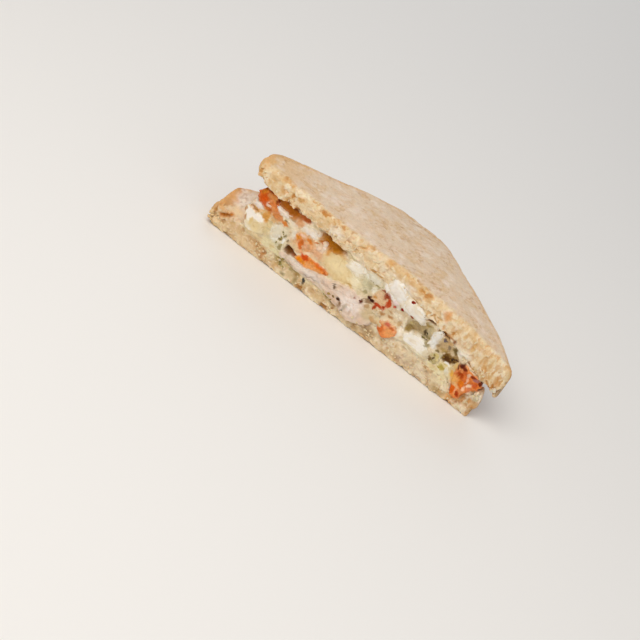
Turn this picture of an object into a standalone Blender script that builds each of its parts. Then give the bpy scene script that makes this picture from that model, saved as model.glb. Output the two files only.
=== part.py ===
"""Half of a filled sandwich, cut corner to corner and lying flat on its lower slice.

Sizes are in millimetres while the shapes are worked out: X runs along the cut, the cut
plane is y = 0, +Y goes back to the far corner and +Z is up. The two slices of bread are
lofts along X. Every piece of filling is a rounded lozenge on the cut plane that runs
back through the food: its height is a share of the gap between the slices, so pieces
that are apart on the cut stay apart all the way to the crust.
"""
import math
from dataclasses import dataclass

import bpy
import numpy as np

MM = 0.001
ORIGIN = (0.66, 41.1, 0.0)      # the cut's own frame, seen from the middle of the box below the part

# Heights along the cut, one value every KNOT_STEP mm from KNOT_START.
KNOT_START = -90.0
KNOT_STEP = 15.0
FLOOR_TOP_CUT = (13.0, 12.0, 10.6, 9.3, 8.6, 8.4, 8.8, 12.0, 13.0, 13.0, 10.8, 12.0, 14.0)
FLOOR_TOP_RIM = (17.5, 17.5, 15.5, 13.5, 12.5, 12.0, 12.0, 12.0, 12.5, 12.5, 12.5, 13.0, 14.0)
LID_UNDER_CUT = (39.5, 38.8, 36.8, 36.8, 36.3, 35.2, 34.2, 33.9, 33.2, 32.0, 28.0, 22.6, 19.5)
LID_OUTER_CUT = (50.0, 49.2, 48.0, 46.8, 46.0, 45.6, 45.5, 45.4, 44.8, 43.6, 41.6, 39.0, 36.0)
LID_OUTER_RIM = (50.0, 49.4, 47.0, 43.6, 40.8, 36.0, 32.8, 34.4, 38.0, 39.4, 39.6, 38.6, 35.6)
LID_THICK_RIM = (11.5, 11.5, 11.5, 11.5, 11.0, 10.6, 10.4, 10.6, 11.2, 12.0, 13.5, 15.0, 15.5)
FLOOR_RISE_POWER = 2.0
LID_DROOP_POWER = 1.7

SLICE_STATIONS = 46
FACE_POINTS = 6                 # across each broad face, from the cut to the crust
CRUST_POINTS = 7                # round the crust
CRUMB_POINTS = 5                # up the cut face
CRUST_ROUND = 5.0
TIP_START = 0.2                 # how far inside the very tip the first and last stations stand
TIP_BULGE = 2.0
TIP_ZONE = (62.0, 86.0)
CRUMB_RELIEF = 1.2
FACE_RELIEF = 0.35
RIM_WANDER = 0.8

CLEARANCE = 0.3                 # left between the filling and both slices
REACH_MARGIN = 2.0              # filling stops this far inside the nearer crust
SWAY = 1.5
RING_POINTS = 16
BOXINESS = 0.52
THINNING = 0.08
LOBE_BACK = -0.9                # a lobe hangs in front of the bread, back to here
BODY_FRONT = -0.4


@dataclass(frozen=True)
class Bread:
    """Plan of a slice: corners at 90 degrees, sides at 45 degrees to the cut."""
    left: tuple
    apex: tuple
    right: tuple
    left_radius: float
    apex_radius: float
    right_radius: float


LOWER = Bread((-92.0, 9.0), (-6.5, 94.5), (87.0, 1.0), 13.7, 22.0, 12.0)
UPPER = Bread((-79.3, 8.7), (1.0, 89.0), (93.0, -3.0), 14.0, 22.0, 12.0)


@dataclass(frozen=True)
class Lozenge:
    """Rounded shape on the cut plane between x0 and x1, with its lowest and highest z
    given at even steps across it."""
    x0: float
    x1: float
    lows: tuple
    highs: tuple


@dataclass(frozen=True)
class Filling:
    """One piece of filling: its shape on the cut, where its front face stands, how much
    of the way to the crust it reaches, and the lobe that hangs in front of the bread."""
    name: str
    finish: str
    body: Lozenge
    front: float
    reach: float
    lobe: Lozenge = None


FILLINGS = (
    Filling("tomato_left", "tomato",
            Lozenge(-68.4, -57.4, (28.2, 27.6, 27.9, 29.4), (33.5, 36.3, 36.0, 34.0)), -0.5, 0.92),
    Filling("ham_scrap_left", "ham",
            Lozenge(-68.4, -48.8, (24.9, 24.5, 21.6, 22.6, 25.6), (26.9, 26.9, 27.2, 28.3, 28.4)),
            0.4, 0.96),
    Filling("egg_wedge_left", "egg",
            Lozenge(-70.2, -55.8, (19.0, 14.6, 11.7, 11.5, 12.0), (23.6, 23.9, 22.9, 20.5, 17.0)),
            -1.2, 0.97),
    Filling("herb_cream_left", "herb_cream",
            Lozenge(-55.3, -41.4, (11.0, 10.2, 9.9, 9.8, 14.0), (16.6, 20.0, 24.2, 27.6, 28.0)),
            0.6, 0.95),
    Filling("sauce_left", "sauce",
            Lozenge(-56.8, -29.6, (29.4, 29.0, 28.5, 29.9, 30.4), (34.2, 32.3, 33.0, 35.5, 35.5)),
            1.0, 0.98),
    Filling("tomato_mid_upper", "tomato",
            Lozenge(-40.6, -27.3, (18.4, 17.6, 17.5, 20.9, 22.2), (27.0, 28.9, 29.3, 29.6, 27.0)),
            0.3, 0.93),
    Filling("tomato_mid_lower", "tomato",
            Lozenge(-34.7, -15.4, (14.0, 13.4, 14.3, 15.7, 16.8), (15.8, 19.7, 19.6, 19.0, 18.7)),
            -0.8, 0.96),
    Filling("ham_scrap_mid", "ham",
            Lozenge(-26.9, -22.3, (22.2, 20.8, 21.0), (30.8, 31.2, 29.6)), 0.8, 0.9),
    Filling("ham_slice", "ham",
            Lozenge(-42.0, 10.6, (9.6, 9.0, 8.9, 9.1, 11.8), (13.0, 12.6, 15.7, 19.6, 18.0)),
            0.5, 0.99,
            Lozenge(-3.5, 15.8, (9.0, 5.0, 3.6, 5.0, 7.5), (19.3, 20.4, 20.0, 16.5, 13.5))),
    Filling("cheese_slice", "cheese",
            Lozenge(-21.8, 2.6, (20.2, 19.5, 18.4, 20.9, 21.3), (28.5, 32.2, 30.2, 26.2, 26.2)),
            0.0, 0.97),
    Filling("sauce_mid", "sauce",
            Lozenge(-8.8, 1.3, (29.8, 27.1, 27.2), (33.4, 33.7, 33.4)), -0.3, 0.94),
    Filling("soft_cheese", "soft_cheese",
            Lozenge(1.7, 12.7, (26.8, 21.8, 26.2, 30.8), (33.4, 33.5, 33.4, 33.2)), 0.2, 0.98),
    Filling("tomato_centre", "tomato",
            Lozenge(8.4, 19.8, (20.9, 19.5, 17.4, 20.3, 22.5), (22.8, 27.2, 30.7, 30.7, 28.0)),
            0.4, 0.95),
    Filling("sauce_spill", "sauce",
            Lozenge(13.4, 25.0, (31.8, 31.6, 28.7, 28.4), (33.3, 33.3, 33.3, 33.1)), 0.0, 0.9,
            Lozenge(13.8, 26.0, (31.0, 30.2, 28.2, 28.5), (35.5, 38.0, 38.2, 35.2))),
    Filling("sauce_right", "sauce",
            Lozenge(25.5, 39.2, (28.1, 28.3, 27.8, 28.6), (32.8, 32.7, 32.5, 32.2)), 0.0, 0.96,
            Lozenge(26.5, 38.8, (28.0, 28.4, 27.8, 28.0), (34.0, 35.7, 35.0, 32.4))),
    Filling("meat_shreds", "shreds",
            Lozenge(11.3, 32.3, (13.4, 13.6, 18.2, 18.4, 17.6), (15.6, 17.8, 26.4, 27.5, 26.6)),
            0.6, 0.97),
    Filling("tomato_low", "tomato",
            Lozenge(20.8, 30.5, (13.5, 13.6, 13.9), (16.6, 17.6, 16.6)), 0.0, 0.93,
            Lozenge(20.2, 30.5, (10.0, 8.9, 12.0), (15.0, 17.7, 16.6))),
    Filling("pickle_slice", "pickle",
            Lozenge(32.9, 45.7, (19.2, 22.4, 22.7, 21.6), (25.6, 26.2, 30.9, 30.0)), 0.8, 0.94),
    Filling("egg_white_mound", "egg",
            Lozenge(34.0, 49.6, (14.4, 13.7, 13.5, 13.4), (18.4, 21.4, 21.0, 17.8)), -2.0, 0.97),
    Filling("egg_white_upright", "egg",
            Lozenge(46.4, 50.9, (21.2, 20.4, 19.6), (29.8, 30.3, 29.6)), -0.2, 0.92),
    Filling("herb_cheese", "herb_cheese",
            Lozenge(51.5, 59.4, (19.9, 20.9, 23.2, 26.0), (29.7, 29.4, 28.3, 27.0)), 0.6, 0.95),
    Filling("pickle_small", "pickle",
            Lozenge(50.2, 54.9, (13.2, 12.7, 12.6), (17.6, 19.0, 19.2)), 0.3, 0.9),
    Filling("pickle_dark", "pickle",
            Lozenge(55.6, 64.2, (17.9, 17.9, 19.4, 21.6), (20.9, 23.6, 26.0, 23.4)), 1.2, 0.96),
    Filling("egg_yolk_right", "yolk",
            Lozenge(55.4, 66.4, (12.6, 11.6, 11.5, 12.4), (17.0, 17.0, 18.6, 16.6)), 0.4, 0.93),
    Filling("tomato_right", "tomato",
            Lozenge(65.2, 80.0, (19.2, 13.4, 12.7, 16.8), (22.6, 22.8, 21.9, 20.4)), 0.0, 0.95,
            Lozenge(64.8, 80.2, (18.0, 6.5, 5.8, 13.5, 17.5), (24.2, 25.0, 23.0, 22.6, 20.8))),
)

FINISHES = {
    "bread_lower": ((0.80, 0.62, 0.40), 0.9),
    "bread_upper": ((0.83, 0.66, 0.45), 0.9),
    "tomato": ((0.80, 0.25, 0.07), 0.3),
    "ham": ((0.86, 0.70, 0.60), 0.45),
    "egg": ((0.88, 0.84, 0.75), 0.4),
    "herb_cream": ((0.72, 0.64, 0.42), 0.5),
    "sauce": ((0.90, 0.85, 0.76), 0.3),
    "cheese": ((0.82, 0.68, 0.36), 0.45),
    "soft_cheese": ((0.74, 0.68, 0.50), 0.5),
    "shreds": ((0.78, 0.60, 0.42), 0.6),
    "pickle": ((0.40, 0.32, 0.10), 0.35),
    "herb_cheese": ((0.68, 0.54, 0.32), 0.5),
    "yolk": ((0.86, 0.66, 0.28), 0.5),
}


def through(values, u):
    """Smooth curve (Catmull-Rom) through evenly spaced values, read at u from 0 to 1."""
    v = np.asarray(values, float)
    v = np.concatenate([[2 * v[0] - v[1]], v, [2 * v[-1] - v[-2]]])
    s = np.clip(u, 0.0, 1.0) * (len(values) - 1)
    i = np.minimum(s.astype(int), len(values) - 2)
    f = s - i
    a, b, c, d = v[i], v[i + 1], v[i + 2], v[i + 3]
    return 0.5 * (2 * b + (c - a) * f + (2 * a - 5 * b + 4 * c - d) * f**2 + (3 * b - 3 * c + d - a) * f**3)


def along_cut(values, x):
    """A height along the cut, read at x."""
    return through(values, (x - KNOT_START) / (KNOT_STEP * (len(values) - 1)))


def ease(low, high, value):
    """Smooth step from 0 at low to 1 at high."""
    f = np.clip((value - low) / (high - low), 0.0, 1.0)
    return f * f * (3 - 2 * f)


def tip_x(bread):
    """The two ends of a slice along X."""
    left_end = bread.left[0] + (math.sqrt(2) - 1) * bread.left_radius
    centre_x = bread.right[0] - math.sqrt(2) * bread.right_radius
    drop = max(0.0, -bread.right[1])
    right_end = centre_x + math.sqrt(bread.right_radius**2 - drop**2)
    return left_end, right_end


def half_chord(radius, offset):
    """Half the width of a circle at an offset from its centre."""
    return np.sqrt(np.maximum(radius**2 - offset**2, 0.0))


def far_edge(bread, x):
    """y of the crust side: two sides at 45 degrees and three round corners."""
    (lx, ly), (ax, ay), (rx, ry) = bread.left, bread.apex, bread.right
    side = np.minimum(ly + (x - lx), ry + (rx - x))
    half_side = bread.apex_radius / math.sqrt(2)
    crown = ay - math.sqrt(2) * bread.apex_radius + half_chord(bread.apex_radius, x - ax)
    side = np.where(np.abs(x - ax) < half_side, crown, side)
    side = side + RIM_WANDER * np.sin(x / 9.0) * ease(20, 50, side)
    left = ly + half_chord(bread.left_radius, x - lx - math.sqrt(2) * bread.left_radius)
    side = np.where(x < lx + bread.left_radius / math.sqrt(2), left, side)
    right = ry + half_chord(bread.right_radius, x - rx + math.sqrt(2) * bread.right_radius)
    return np.where(x > rx - bread.right_radius / math.sqrt(2), right, side)


def near_edge(bread, x):
    """y of the side that faces the viewer: the cut, then the back of each round tip."""
    lx, ly = bread.left
    rx, ry = bread.right
    left = ly - half_chord(bread.left_radius, x - lx - math.sqrt(2) * bread.left_radius)
    right = ry - half_chord(bread.right_radius, x - rx + math.sqrt(2) * bread.right_radius)
    near = np.where(x < lx + bread.left_radius / math.sqrt(2), np.maximum(left, 0.0), 0.0)
    return np.where(x > rx - bread.right_radius / math.sqrt(2), np.maximum(right, near), near)


def depth_share(bread, x, y):
    """How far y is on the way from the cut, 0, to the crust, 1."""
    return np.clip(y / np.maximum(far_edge(bread, x), 1.0), 0.0, 1.0)


def undulation(x, y):
    """Slight unevenness of a soft slice's broad face."""
    return FACE_RELIEF * (np.sin(x / 8.5 + 0.6 * np.sin(y / 12)) * np.cos(y / 10.5 + 0.5) - 0.4)


def floor_top(x, y):
    """Height of the lower slice's inner face."""
    share = depth_share(LOWER, x, y) ** FLOOR_RISE_POWER
    cut, rim = along_cut(FLOOR_TOP_CUT, x), along_cut(FLOOR_TOP_RIM, x)
    return cut + (rim - cut) * share


def lid_outer(x, y):
    """Height of the upper slice's outer face, which droops towards the crust."""
    share = depth_share(UPPER, x, y) ** LID_DROOP_POWER
    cut, rim = along_cut(LID_OUTER_CUT, x), along_cut(LID_OUTER_RIM, x)
    return cut + (rim - cut) * share


def lid_under(x, y):
    """Height of the upper slice's inner face."""
    share = depth_share(UPPER, x, y) ** LID_DROOP_POWER
    cut = along_cut(LID_UNDER_CUT, x)
    rim = along_cut(LID_OUTER_RIM, x) - along_cut(LID_THICK_RIM, x)
    return cut + (rim - cut) * share


def crumb_relief(x, z):
    """Torn crumb of the cut face: shallow hollows, only ever into the bread."""
    wave = np.sin(x * 0.83 + 1.7 * np.sin(z * 0.41)) * np.sin(z * 0.71 + 1.3 * np.sin(x * 0.37))
    return CRUMB_RELIEF * (0.5 + 0.5 * wave)


def slice_grid(bread, under, over):
    """Points of a slice: one closed loop of (y, z) at each station along X. The loop runs
    along the lower face, round the crust, back along the upper face and down the cut."""
    start, end = tip_x(bread)
    s = np.linspace(0.0, 1.0, SLICE_STATIONS)
    s = 0.55 * s + 0.45 * (0.5 - 0.5 * np.cos(math.pi * s))
    x = (start + TIP_START + (end - start - 2 * TIP_START) * s)[:, None]
    near, far = near_edge(bread, x), far_edge(bread, x)
    width = far - near
    rounding = np.minimum(CRUST_ROUND, 0.5 * width)

    across = np.linspace(0.0, 1.0, FACE_POINTS)[None, :]
    face_y = near + (width - rounding) * across
    angle = np.linspace(-0.5 * math.pi, 0.5 * math.pi, CRUST_POINTS + 2)[None, 1:-1]
    crust_y = far - rounding + rounding * np.cos(angle) ** 0.8
    up = np.linspace(1.0, 0.0, CRUMB_POINTS + 2)[None, 1:-1]

    low_face, high_face = under(x, face_y), over(x, face_y)
    middle = 0.5 * (under(x, crust_y) + over(x, crust_y))
    half = 0.5 * (over(x, crust_y) - under(x, crust_y))
    crust_z = middle + half * np.sign(np.sin(angle)) * np.abs(np.sin(angle)) ** 0.8
    cut_z = low_face[:, :1] + (high_face[:, :1] - low_face[:, :1]) * up
    tip_fade = ease(0.0, 6.0, far) * (near < 0.01)
    cut_y = near + crumb_relief(x, cut_z) * tip_fade

    y = np.concatenate([face_y, crust_y, face_y[:, ::-1], cut_y], axis=1)
    z = np.concatenate([low_face, crust_z, high_face[:, ::-1], cut_z], axis=1)
    height = (z - low_face[:, :1]) / (high_face[:, :1] - low_face[:, :1])
    swell = TIP_BULGE * np.sin(math.pi * np.clip(height, 0.0, 1.0)) * ease(*TIP_ZONE, np.abs(x))
    return np.stack([x + np.sign(x) * swell, y, z], axis=-1)


def lozenge_points(shape, ring, angle):
    """Points (x, z) of a lozenge at ring from 0, its middle, to 1, its outline."""
    u = 0.5 - 0.5 * ring * np.cos(angle)
    low, high = through(shape.lows, u), through(shape.highs, u)
    lift = ring * np.sign(np.sin(angle)) * np.abs(np.sin(angle)) ** BOXINESS
    return shape.x0 + (shape.x1 - shape.x0) * u, 0.5 * (low + high) + 0.5 * (high - low) * lift


def carried(x, y, z):
    """Carry a point of the cut plane back to depth y: the height keeps its share of the gap
    between the slices, and the whole filling sways a little sideways."""
    low, high = along_cut(FLOOR_TOP_CUT, x) + CLEARANCE, along_cut(LID_UNDER_CUT, x) - CLEARANCE
    share = (z - low) / (high - low)
    back = np.maximum(y, 0.0)
    side = x + SWAY * np.sin(back / 18.0) * (1 - (x / 90.0) ** 2)
    low, high = floor_top(side, back) + CLEARANCE, lid_under(side, back) - CLEARANCE
    return np.stack([side, y, np.where(y > 0, low + share * (high - low), z)], axis=-1)


def filling_rings(piece):
    """Closed rings of points from the front of a piece to its back."""
    angle = np.linspace(0.0, 2 * math.pi, RING_POINTS, endpoint=False)
    rings = []
    front = piece.front
    if piece.lobe:
        for y, ring in ((-2.7, 0.62), (-2.3, 0.86), (-1.6, 1.0), (LOBE_BACK, 1.0)):
            x, z = lozenge_points(piece.lobe, ring, angle)
            rings.append(np.stack([x, np.full_like(x, y), z], axis=-1))
        front = BODY_FRONT
        steps = ((0.0, 1.0),)
    else:
        steps = ((0.0, 0.66), (0.06, 0.92))
    for share, ring in steps + ((0.2, 1.0), (0.4, 1.0), (0.62, 1.0), (0.82, 0.98), (0.95, 0.9), (1.0, 0.62)):
        ring = ring * (1 - THINNING * share)
        x, z = lozenge_points(piece.body, ring, angle)
        limit = np.minimum(far_edge(LOWER, x), far_edge(UPPER, x)) - REACH_MARGIN
        rings.append(carried(x, front + share * (limit * piece.reach - front), z))
    return np.array(rings)


def add_tube(name, rings, finish):
    """Close a stack of rings into one solid and give it its own material."""
    count, around = rings.shape[:2]
    ends = np.stack([rings[0].mean(axis=0), rings[-1].mean(axis=0)])
    points = np.concatenate([rings.reshape(-1, 3), ends]) - np.array(ORIGIN)
    first, last = count * around, count * around + 1
    faces = []
    for k in range(around):
        n = (k + 1) % around
        for i in range(count - 1):
            a, b = i * around, (i + 1) * around
            faces.append((a + k, b + k, b + n, a + n))
        faces.append((first, k, n))
        faces.append((last, (count - 1) * around + n, (count - 1) * around + k))
    mesh = bpy.data.meshes.new(name)
    mesh.from_pydata((points * MM).tolist(), [], faces)
    mesh.update()
    thing = bpy.data.objects.new(name, mesh)
    bpy.context.scene.collection.objects.link(thing)
    mesh.materials.append(material(finish))
    mesh.shade_smooth()
    mesh.set_sharp_from_angle(angle=math.radians(50))
    if signed_volume(mesh) < 0:
        mesh.flip_normals()
    return thing


def signed_volume(mesh):
    """Six times the volume inside a closed mesh, negative where its faces point in."""
    total = 0.0
    for face in mesh.polygons:
        corner = [mesh.vertices[v].co for v in face.vertices]
        for i in range(1, len(corner) - 1):
            total += corner[0].dot(corner[i].cross(corner[i + 1]))
    return total


def material(finish):
    """The Principled material of a finish, made once."""
    if finish in bpy.data.materials:
        return bpy.data.materials[finish]
    colour, roughness = FINISHES[finish]
    made = bpy.data.materials.new(finish)
    made.use_nodes = True
    shader = made.node_tree.nodes["Principled BSDF"]
    shader.inputs["Base Color"].default_value = (*colour, 1.0)
    shader.inputs["Roughness"].default_value = roughness
    shader.inputs["Metallic"].default_value = 0.0
    return made


def clear_scene():
    """Start from an empty scene."""
    for thing in list(bpy.data.objects):
        bpy.data.objects.remove(thing, do_unlink=True)


def build_bread():
    """The lower slice, flat underneath, and the upper slice, which droops to the far corner."""
    lower = slice_grid(LOWER, lambda x, y: np.zeros(np.broadcast(x, y).shape), floor_top)
    upper = slice_grid(UPPER, lid_under, lambda x, y: lid_outer(x, y) + undulation(x, y))
    add_tube("bread_lower", lower, "bread_lower")
    add_tube("bread_upper", upper, "bread_upper")


def build_filling():
    """Every piece of filling, from the cut back to the crust."""
    for piece in FILLINGS:
        add_tube(piece.name, filling_rings(piece), piece.finish)


clear_scene()
build_bread()
build_filling()
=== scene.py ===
"""Looks of half a filled sandwich, cut corner to corner and lying on its lower slice.

Every shape is worked out in millimetres in the frame of the cut: X along the cut, the cut
plane at y = 0, +Y back to the far corner, +Z up. to_part() carries it to the part's frame.
"""
from __future__ import annotations

import logging
import math
from collections.abc import Callable
from dataclasses import dataclass, field
from enum import Enum
from functools import cache

import bpy
import numpy as np
from mathutils import Matrix, Vector


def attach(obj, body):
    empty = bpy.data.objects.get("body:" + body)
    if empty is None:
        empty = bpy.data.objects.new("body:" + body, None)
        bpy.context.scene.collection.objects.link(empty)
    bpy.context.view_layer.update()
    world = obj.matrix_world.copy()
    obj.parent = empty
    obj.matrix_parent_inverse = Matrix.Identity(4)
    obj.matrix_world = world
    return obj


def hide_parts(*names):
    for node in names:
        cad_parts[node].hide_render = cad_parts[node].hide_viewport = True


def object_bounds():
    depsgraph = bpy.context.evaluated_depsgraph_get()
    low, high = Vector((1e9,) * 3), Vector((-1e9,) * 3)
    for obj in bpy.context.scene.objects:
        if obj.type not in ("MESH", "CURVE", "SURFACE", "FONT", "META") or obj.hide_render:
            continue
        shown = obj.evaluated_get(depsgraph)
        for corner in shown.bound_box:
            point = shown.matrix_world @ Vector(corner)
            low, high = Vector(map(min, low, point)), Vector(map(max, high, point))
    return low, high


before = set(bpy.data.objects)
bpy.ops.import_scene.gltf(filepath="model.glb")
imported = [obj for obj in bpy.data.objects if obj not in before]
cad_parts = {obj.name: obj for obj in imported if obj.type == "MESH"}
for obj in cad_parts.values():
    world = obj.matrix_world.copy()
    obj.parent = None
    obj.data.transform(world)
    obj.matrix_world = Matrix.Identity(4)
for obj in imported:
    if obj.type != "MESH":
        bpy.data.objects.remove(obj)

CAD_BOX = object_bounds()

Array = np.ndarray
MM = 0.001
CUT_ORIGIN = np.array([0.66, 41.1, 0.0])
ROOT = "root"
BOX_SKIN = 0.02
LOG = logging.getLogger("sandwich")


# ---------------------------------------------------------------- numbers and noise


def ease(low: float, high: float, value: Array) -> Array:
    """Smooth step: 0 at low, 1 at high, with level ends.

    Args:
        low: value that gives 0.
        high: value that gives 1; it may lie below low.
        value: what is read.

    Returns:
        Share from 0 to 1.
    """
    share = np.clip((value - low) / (high - low), 0.0, 1.0)
    return share * share * (3.0 - 2.0 * share)


def mix(first: Array, second: Array, share: Array) -> Array:
    """Blend two fields of colours by a share for each point.

    Args:
        first, second: one colour, or colours with last axis 3.
        share: how much of second, without the last axis.

    Returns:
        Blended colours.
    """
    weight = np.clip(share, 0.0, 1.0)[..., None]
    return first * (1.0 - weight) + second * weight


def through(values: tuple[float, ...], u: Array) -> Array:
    """Smooth curve (Catmull-Rom) through evenly spaced values.

    Args:
        values: the values, at least two.
        u: where to read it, from 0 to 1.

    Returns:
        Height of the curve at u.
    """
    v = np.asarray(values, float)
    v = np.concatenate([[2 * v[0] - v[1]], v, [2 * v[-1] - v[-2]]])
    s = np.clip(u, 0.0, 1.0) * (len(values) - 1)
    i = np.minimum(s.astype(int), len(values) - 2)
    f = s - i
    a, b, c, d = v[i], v[i + 1], v[i + 2], v[i + 3]
    return 0.5 * (2 * b + (c - a) * f + (2 * a - 5 * b + 4 * c - d) * f**2 + (3 * b - 3 * c + d - a) * f**3)


def boxed(angle: Array, power: float) -> Array:
    """Sine of an angle with its size raised to a power; below 1 it makes an oval boxy."""
    return np.sign(np.sin(angle)) * np.abs(np.sin(angle)) ** power


def linear(code: str) -> Array:
    """Turn an sRGB hex colour such as "#E6D2AE" to linear light."""
    c = np.array([int(code[i:i + 2], 16) for i in (1, 3, 5)]) / 255.0
    return np.where(c <= 0.04045, c / 12.92, ((c + 0.055) / 1.055) ** 2.4)


def lattice(i: Array, j: Array, k: Array, seed: int) -> Array:
    """A repeatable random number from 0 to 1 for each cell of a lattice: the cell's three
    whole numbers and the seed are multiplied by large odd numbers, mixed and folded.

    Args:
        i, j, k: the cell's whole numbers.
        seed: changes the whole field.

    Returns:
        Random numbers, one for each cell.
    """
    h = (i * 73856093) ^ (j * 19349663) ^ (k * 83492791) ^ ((seed * 2654435761) & 0x7FFFFFFF)
    h = ((h ^ (h >> 13)) * 1274126177) & 0xFFFFFFFF
    h = ((h ^ (h >> 15)) * 668265263) & 0xFFFFFFFF
    return ((h ^ (h >> 16)) & 0xFFFFFF) / float(0x1000000)


def soft_noise(points: Array, size: float, seed: int) -> Array:
    """Value noise from -1 to 1: random heights on a lattice of the given size, blended by a
    smooth step along each axis.

    Args:
        points: places, last axis 3.
        size: spacing of the lattice in mm.
        seed: changes the whole field.

    Returns:
        Noise at each place.
    """
    q = points / size
    cell = np.floor(q).astype(np.int64)
    f = q - cell
    f = f * f * (3.0 - 2.0 * f)
    total = np.zeros(points.shape[:-1])
    for dx in (0, 1):
        wx = f[..., 0] if dx else 1.0 - f[..., 0]
        for dy in (0, 1):
            wy = f[..., 1] if dy else 1.0 - f[..., 1]
            for dz in (0, 1):
                wz = f[..., 2] if dz else 1.0 - f[..., 2]
                total += wx * wy * wz * lattice(cell[..., 0] + dx, cell[..., 1] + dy, cell[..., 2] + dz, seed)
    return 2.0 * total - 1.0


def cloud(points: Array, size: float, seed: int, octaves: int = 3) -> Array:
    """Cloudy noise: layers of value noise, each half as large and 0.55 as strong as the last.

    Args:
        points: places, last axis 3.
        size: size of the largest features in mm.
        seed: changes the whole field.
        octaves: number of layers.

    Returns:
        Noise of about -1 to 1.
    """
    total, strength, weight = 0.0, 1.0, 0.0
    for layer in range(octaves):
        total = total + strength * soft_noise(points + 17.3 * layer, size / 2**layer, seed + layer)
        weight += strength
        strength *= 0.55
    return 1.5 * total / weight


def to_part(points: Array) -> Array:
    """Carry points from the frame of the cut, in mm, to the part's frame, in metres."""
    return (points - CUT_ORIGIN) * MM


def inside_box(points: Array) -> Array:
    """Hold points of the frame of the cut just inside the part's own box."""
    low, high = (np.array(corner) / MM + CUT_ORIGIN for corner in CAD_BOX)
    return np.clip(points, low + BOX_SKIN * np.array([1.0, 1.0, 0.0]), high - BOX_SKIN)


# ---------------------------------------------------------------- meshes


def grid_normals(grid: Array) -> Array:
    """Unit normals of a grid that closes around its second axis: the cross product of the
    steps to the neighbours along both axes.

    Args:
        grid: points, shape (rows, around, 3).

    Returns:
        Normals, same shape; they point out where rows run front to back and the second
        axis runs anticlockwise seen from the first row.
    """
    along = np.gradient(grid, axis=0)
    about = np.roll(grid, -1, axis=1) - np.roll(grid, 1, axis=1)
    normal = np.cross(about, along)
    return normal / np.maximum(np.linalg.norm(normal, axis=-1, keepdims=True), 1e-9)


def tube_faces(rows: int, around: int) -> tuple[Array, Array]:
    """Faces of a closed tube: quads between the rings and a fan of triangles at each end.

    Args:
        rows: number of rings.
        around: points on a ring. The two end points follow the rings in the mesh.

    Returns:
        Corner numbers of all faces in one row, and the number of corners of each face.
    """
    ring = np.arange(around)
    after = (ring + 1) % around
    base = (np.arange(rows - 1) * around)[:, None]
    quads = np.stack([base + ring, base + around + ring, base + around + after, base + after], axis=-1)
    first, last = rows * around, rows * around + 1
    start = np.stack([np.full(around, first), ring, after], axis=-1)
    end_ring = (rows - 1) * around
    end = np.stack([np.full(around, last), end_ring + after, end_ring + ring], axis=-1)
    corners = np.concatenate([quads.reshape(-1), start.reshape(-1), end.reshape(-1)])
    sides = np.concatenate([np.full(quads.shape[0] * around, 4), np.full(2 * around, 3)])
    return corners, sides


def enclosed(points: Array, corners: Array, sides: Array) -> float:
    """Signed volume inside a closed mesh: the sum over its faces of the triple product."""
    starts = np.concatenate([[0], np.cumsum(sides)[:-1]])
    a, b, c = (points[corners[starts + n]] for n in range(3))
    total = np.einsum("ij,ij->", a, np.cross(b, c))
    four = sides == 4
    d = points[corners[starts[four] + 3]]
    return float(total + np.einsum("ij,ij->", a[four], np.cross(c[four], d)))


def make_mesh(name: str, points: Array, corners: Array, sides: Array, tone: Array) -> bpy.types.Object:
    """Put arrays into a new smooth-shaded mesh object, faces pointing out.

    Args:
        name: name of the piece.
        points: places in the frame of the cut, in mm.
        corners: corner numbers of all faces in one row.
        sides: number of corners of each face.
        tone: linear colour of each point, kept as the attribute "tone".

    Returns:
        The new object, linked to the scene.
    """
    starts = np.concatenate([[0], np.cumsum(sides)[:-1]])
    if enclosed(points, corners, sides) < 0:
        corners = np.concatenate([corners[s:s + n][::-1] for s, n in zip(starts, sides)])
    mesh = bpy.data.meshes.new(name)
    mesh.vertices.add(len(points))
    mesh.vertices.foreach_set("co", to_part(points).astype(np.float32).ravel())
    mesh.loops.add(len(corners))
    mesh.loops.foreach_set("vertex_index", corners.astype(np.int32))
    mesh.polygons.add(len(sides))
    mesh.polygons.foreach_set("loop_start", starts.astype(np.int32))
    mesh.polygons.foreach_set("loop_total", sides.astype(np.int32))
    mesh.update(calc_edges=True)
    mesh.validate()
    paint = mesh.attributes.new("tone", "FLOAT_COLOR", "POINT")
    rgba = np.concatenate([tone, np.ones((len(tone), 1))], axis=1)
    paint.data.foreach_set("color", rgba.astype(np.float32).ravel())
    mesh.shade_smooth()
    piece = bpy.data.objects.new(name, mesh)
    bpy.context.scene.collection.objects.link(piece)
    return piece


def tube_object(name: str, grid: Array, tone: Array) -> bpy.types.Object:
    """Close a grid of rings by a point at each end and make it an object.

    Args:
        name: name of the piece.
        grid: points, shape (rows, around, 3), in mm.
        tone: linear colours, same shape.

    Returns:
        The new object.
    """
    ends = np.stack([grid[0].mean(axis=0), grid[-1].mean(axis=0)])
    end_tones = np.stack([tone[0].mean(axis=0), tone[-1].mean(axis=0)])
    corners, sides = tube_faces(*grid.shape[:2])
    return make_mesh(name, np.concatenate([grid.reshape(-1, 3), ends]), corners, sides,
                     np.concatenate([tone.reshape(-1, 3), end_tones]))


# ---------------------------------------------------------------- materials


def add_node(tree: bpy.types.NodeTree, kind: str, settings: dict | None = None,
             links: dict | None = None) -> bpy.types.Node:
    """Add a shader node.

    Args:
        tree: node tree that gets it.
        kind: Blender's name of the node type.
        settings: properties by name, or values of inputs by name or number.
        links: output sockets by the input's name or number.

    Returns:
        The new node.
    """
    made = tree.nodes.new(kind)
    for key, value in (settings or {}).items():
        if isinstance(key, str) and hasattr(made, key):
            setattr(made, key, value)
        else:
            made.inputs[key].default_value = value
    for key, socket in (links or {}).items():
        tree.links.new(socket, made.inputs[key])
    return made


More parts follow.
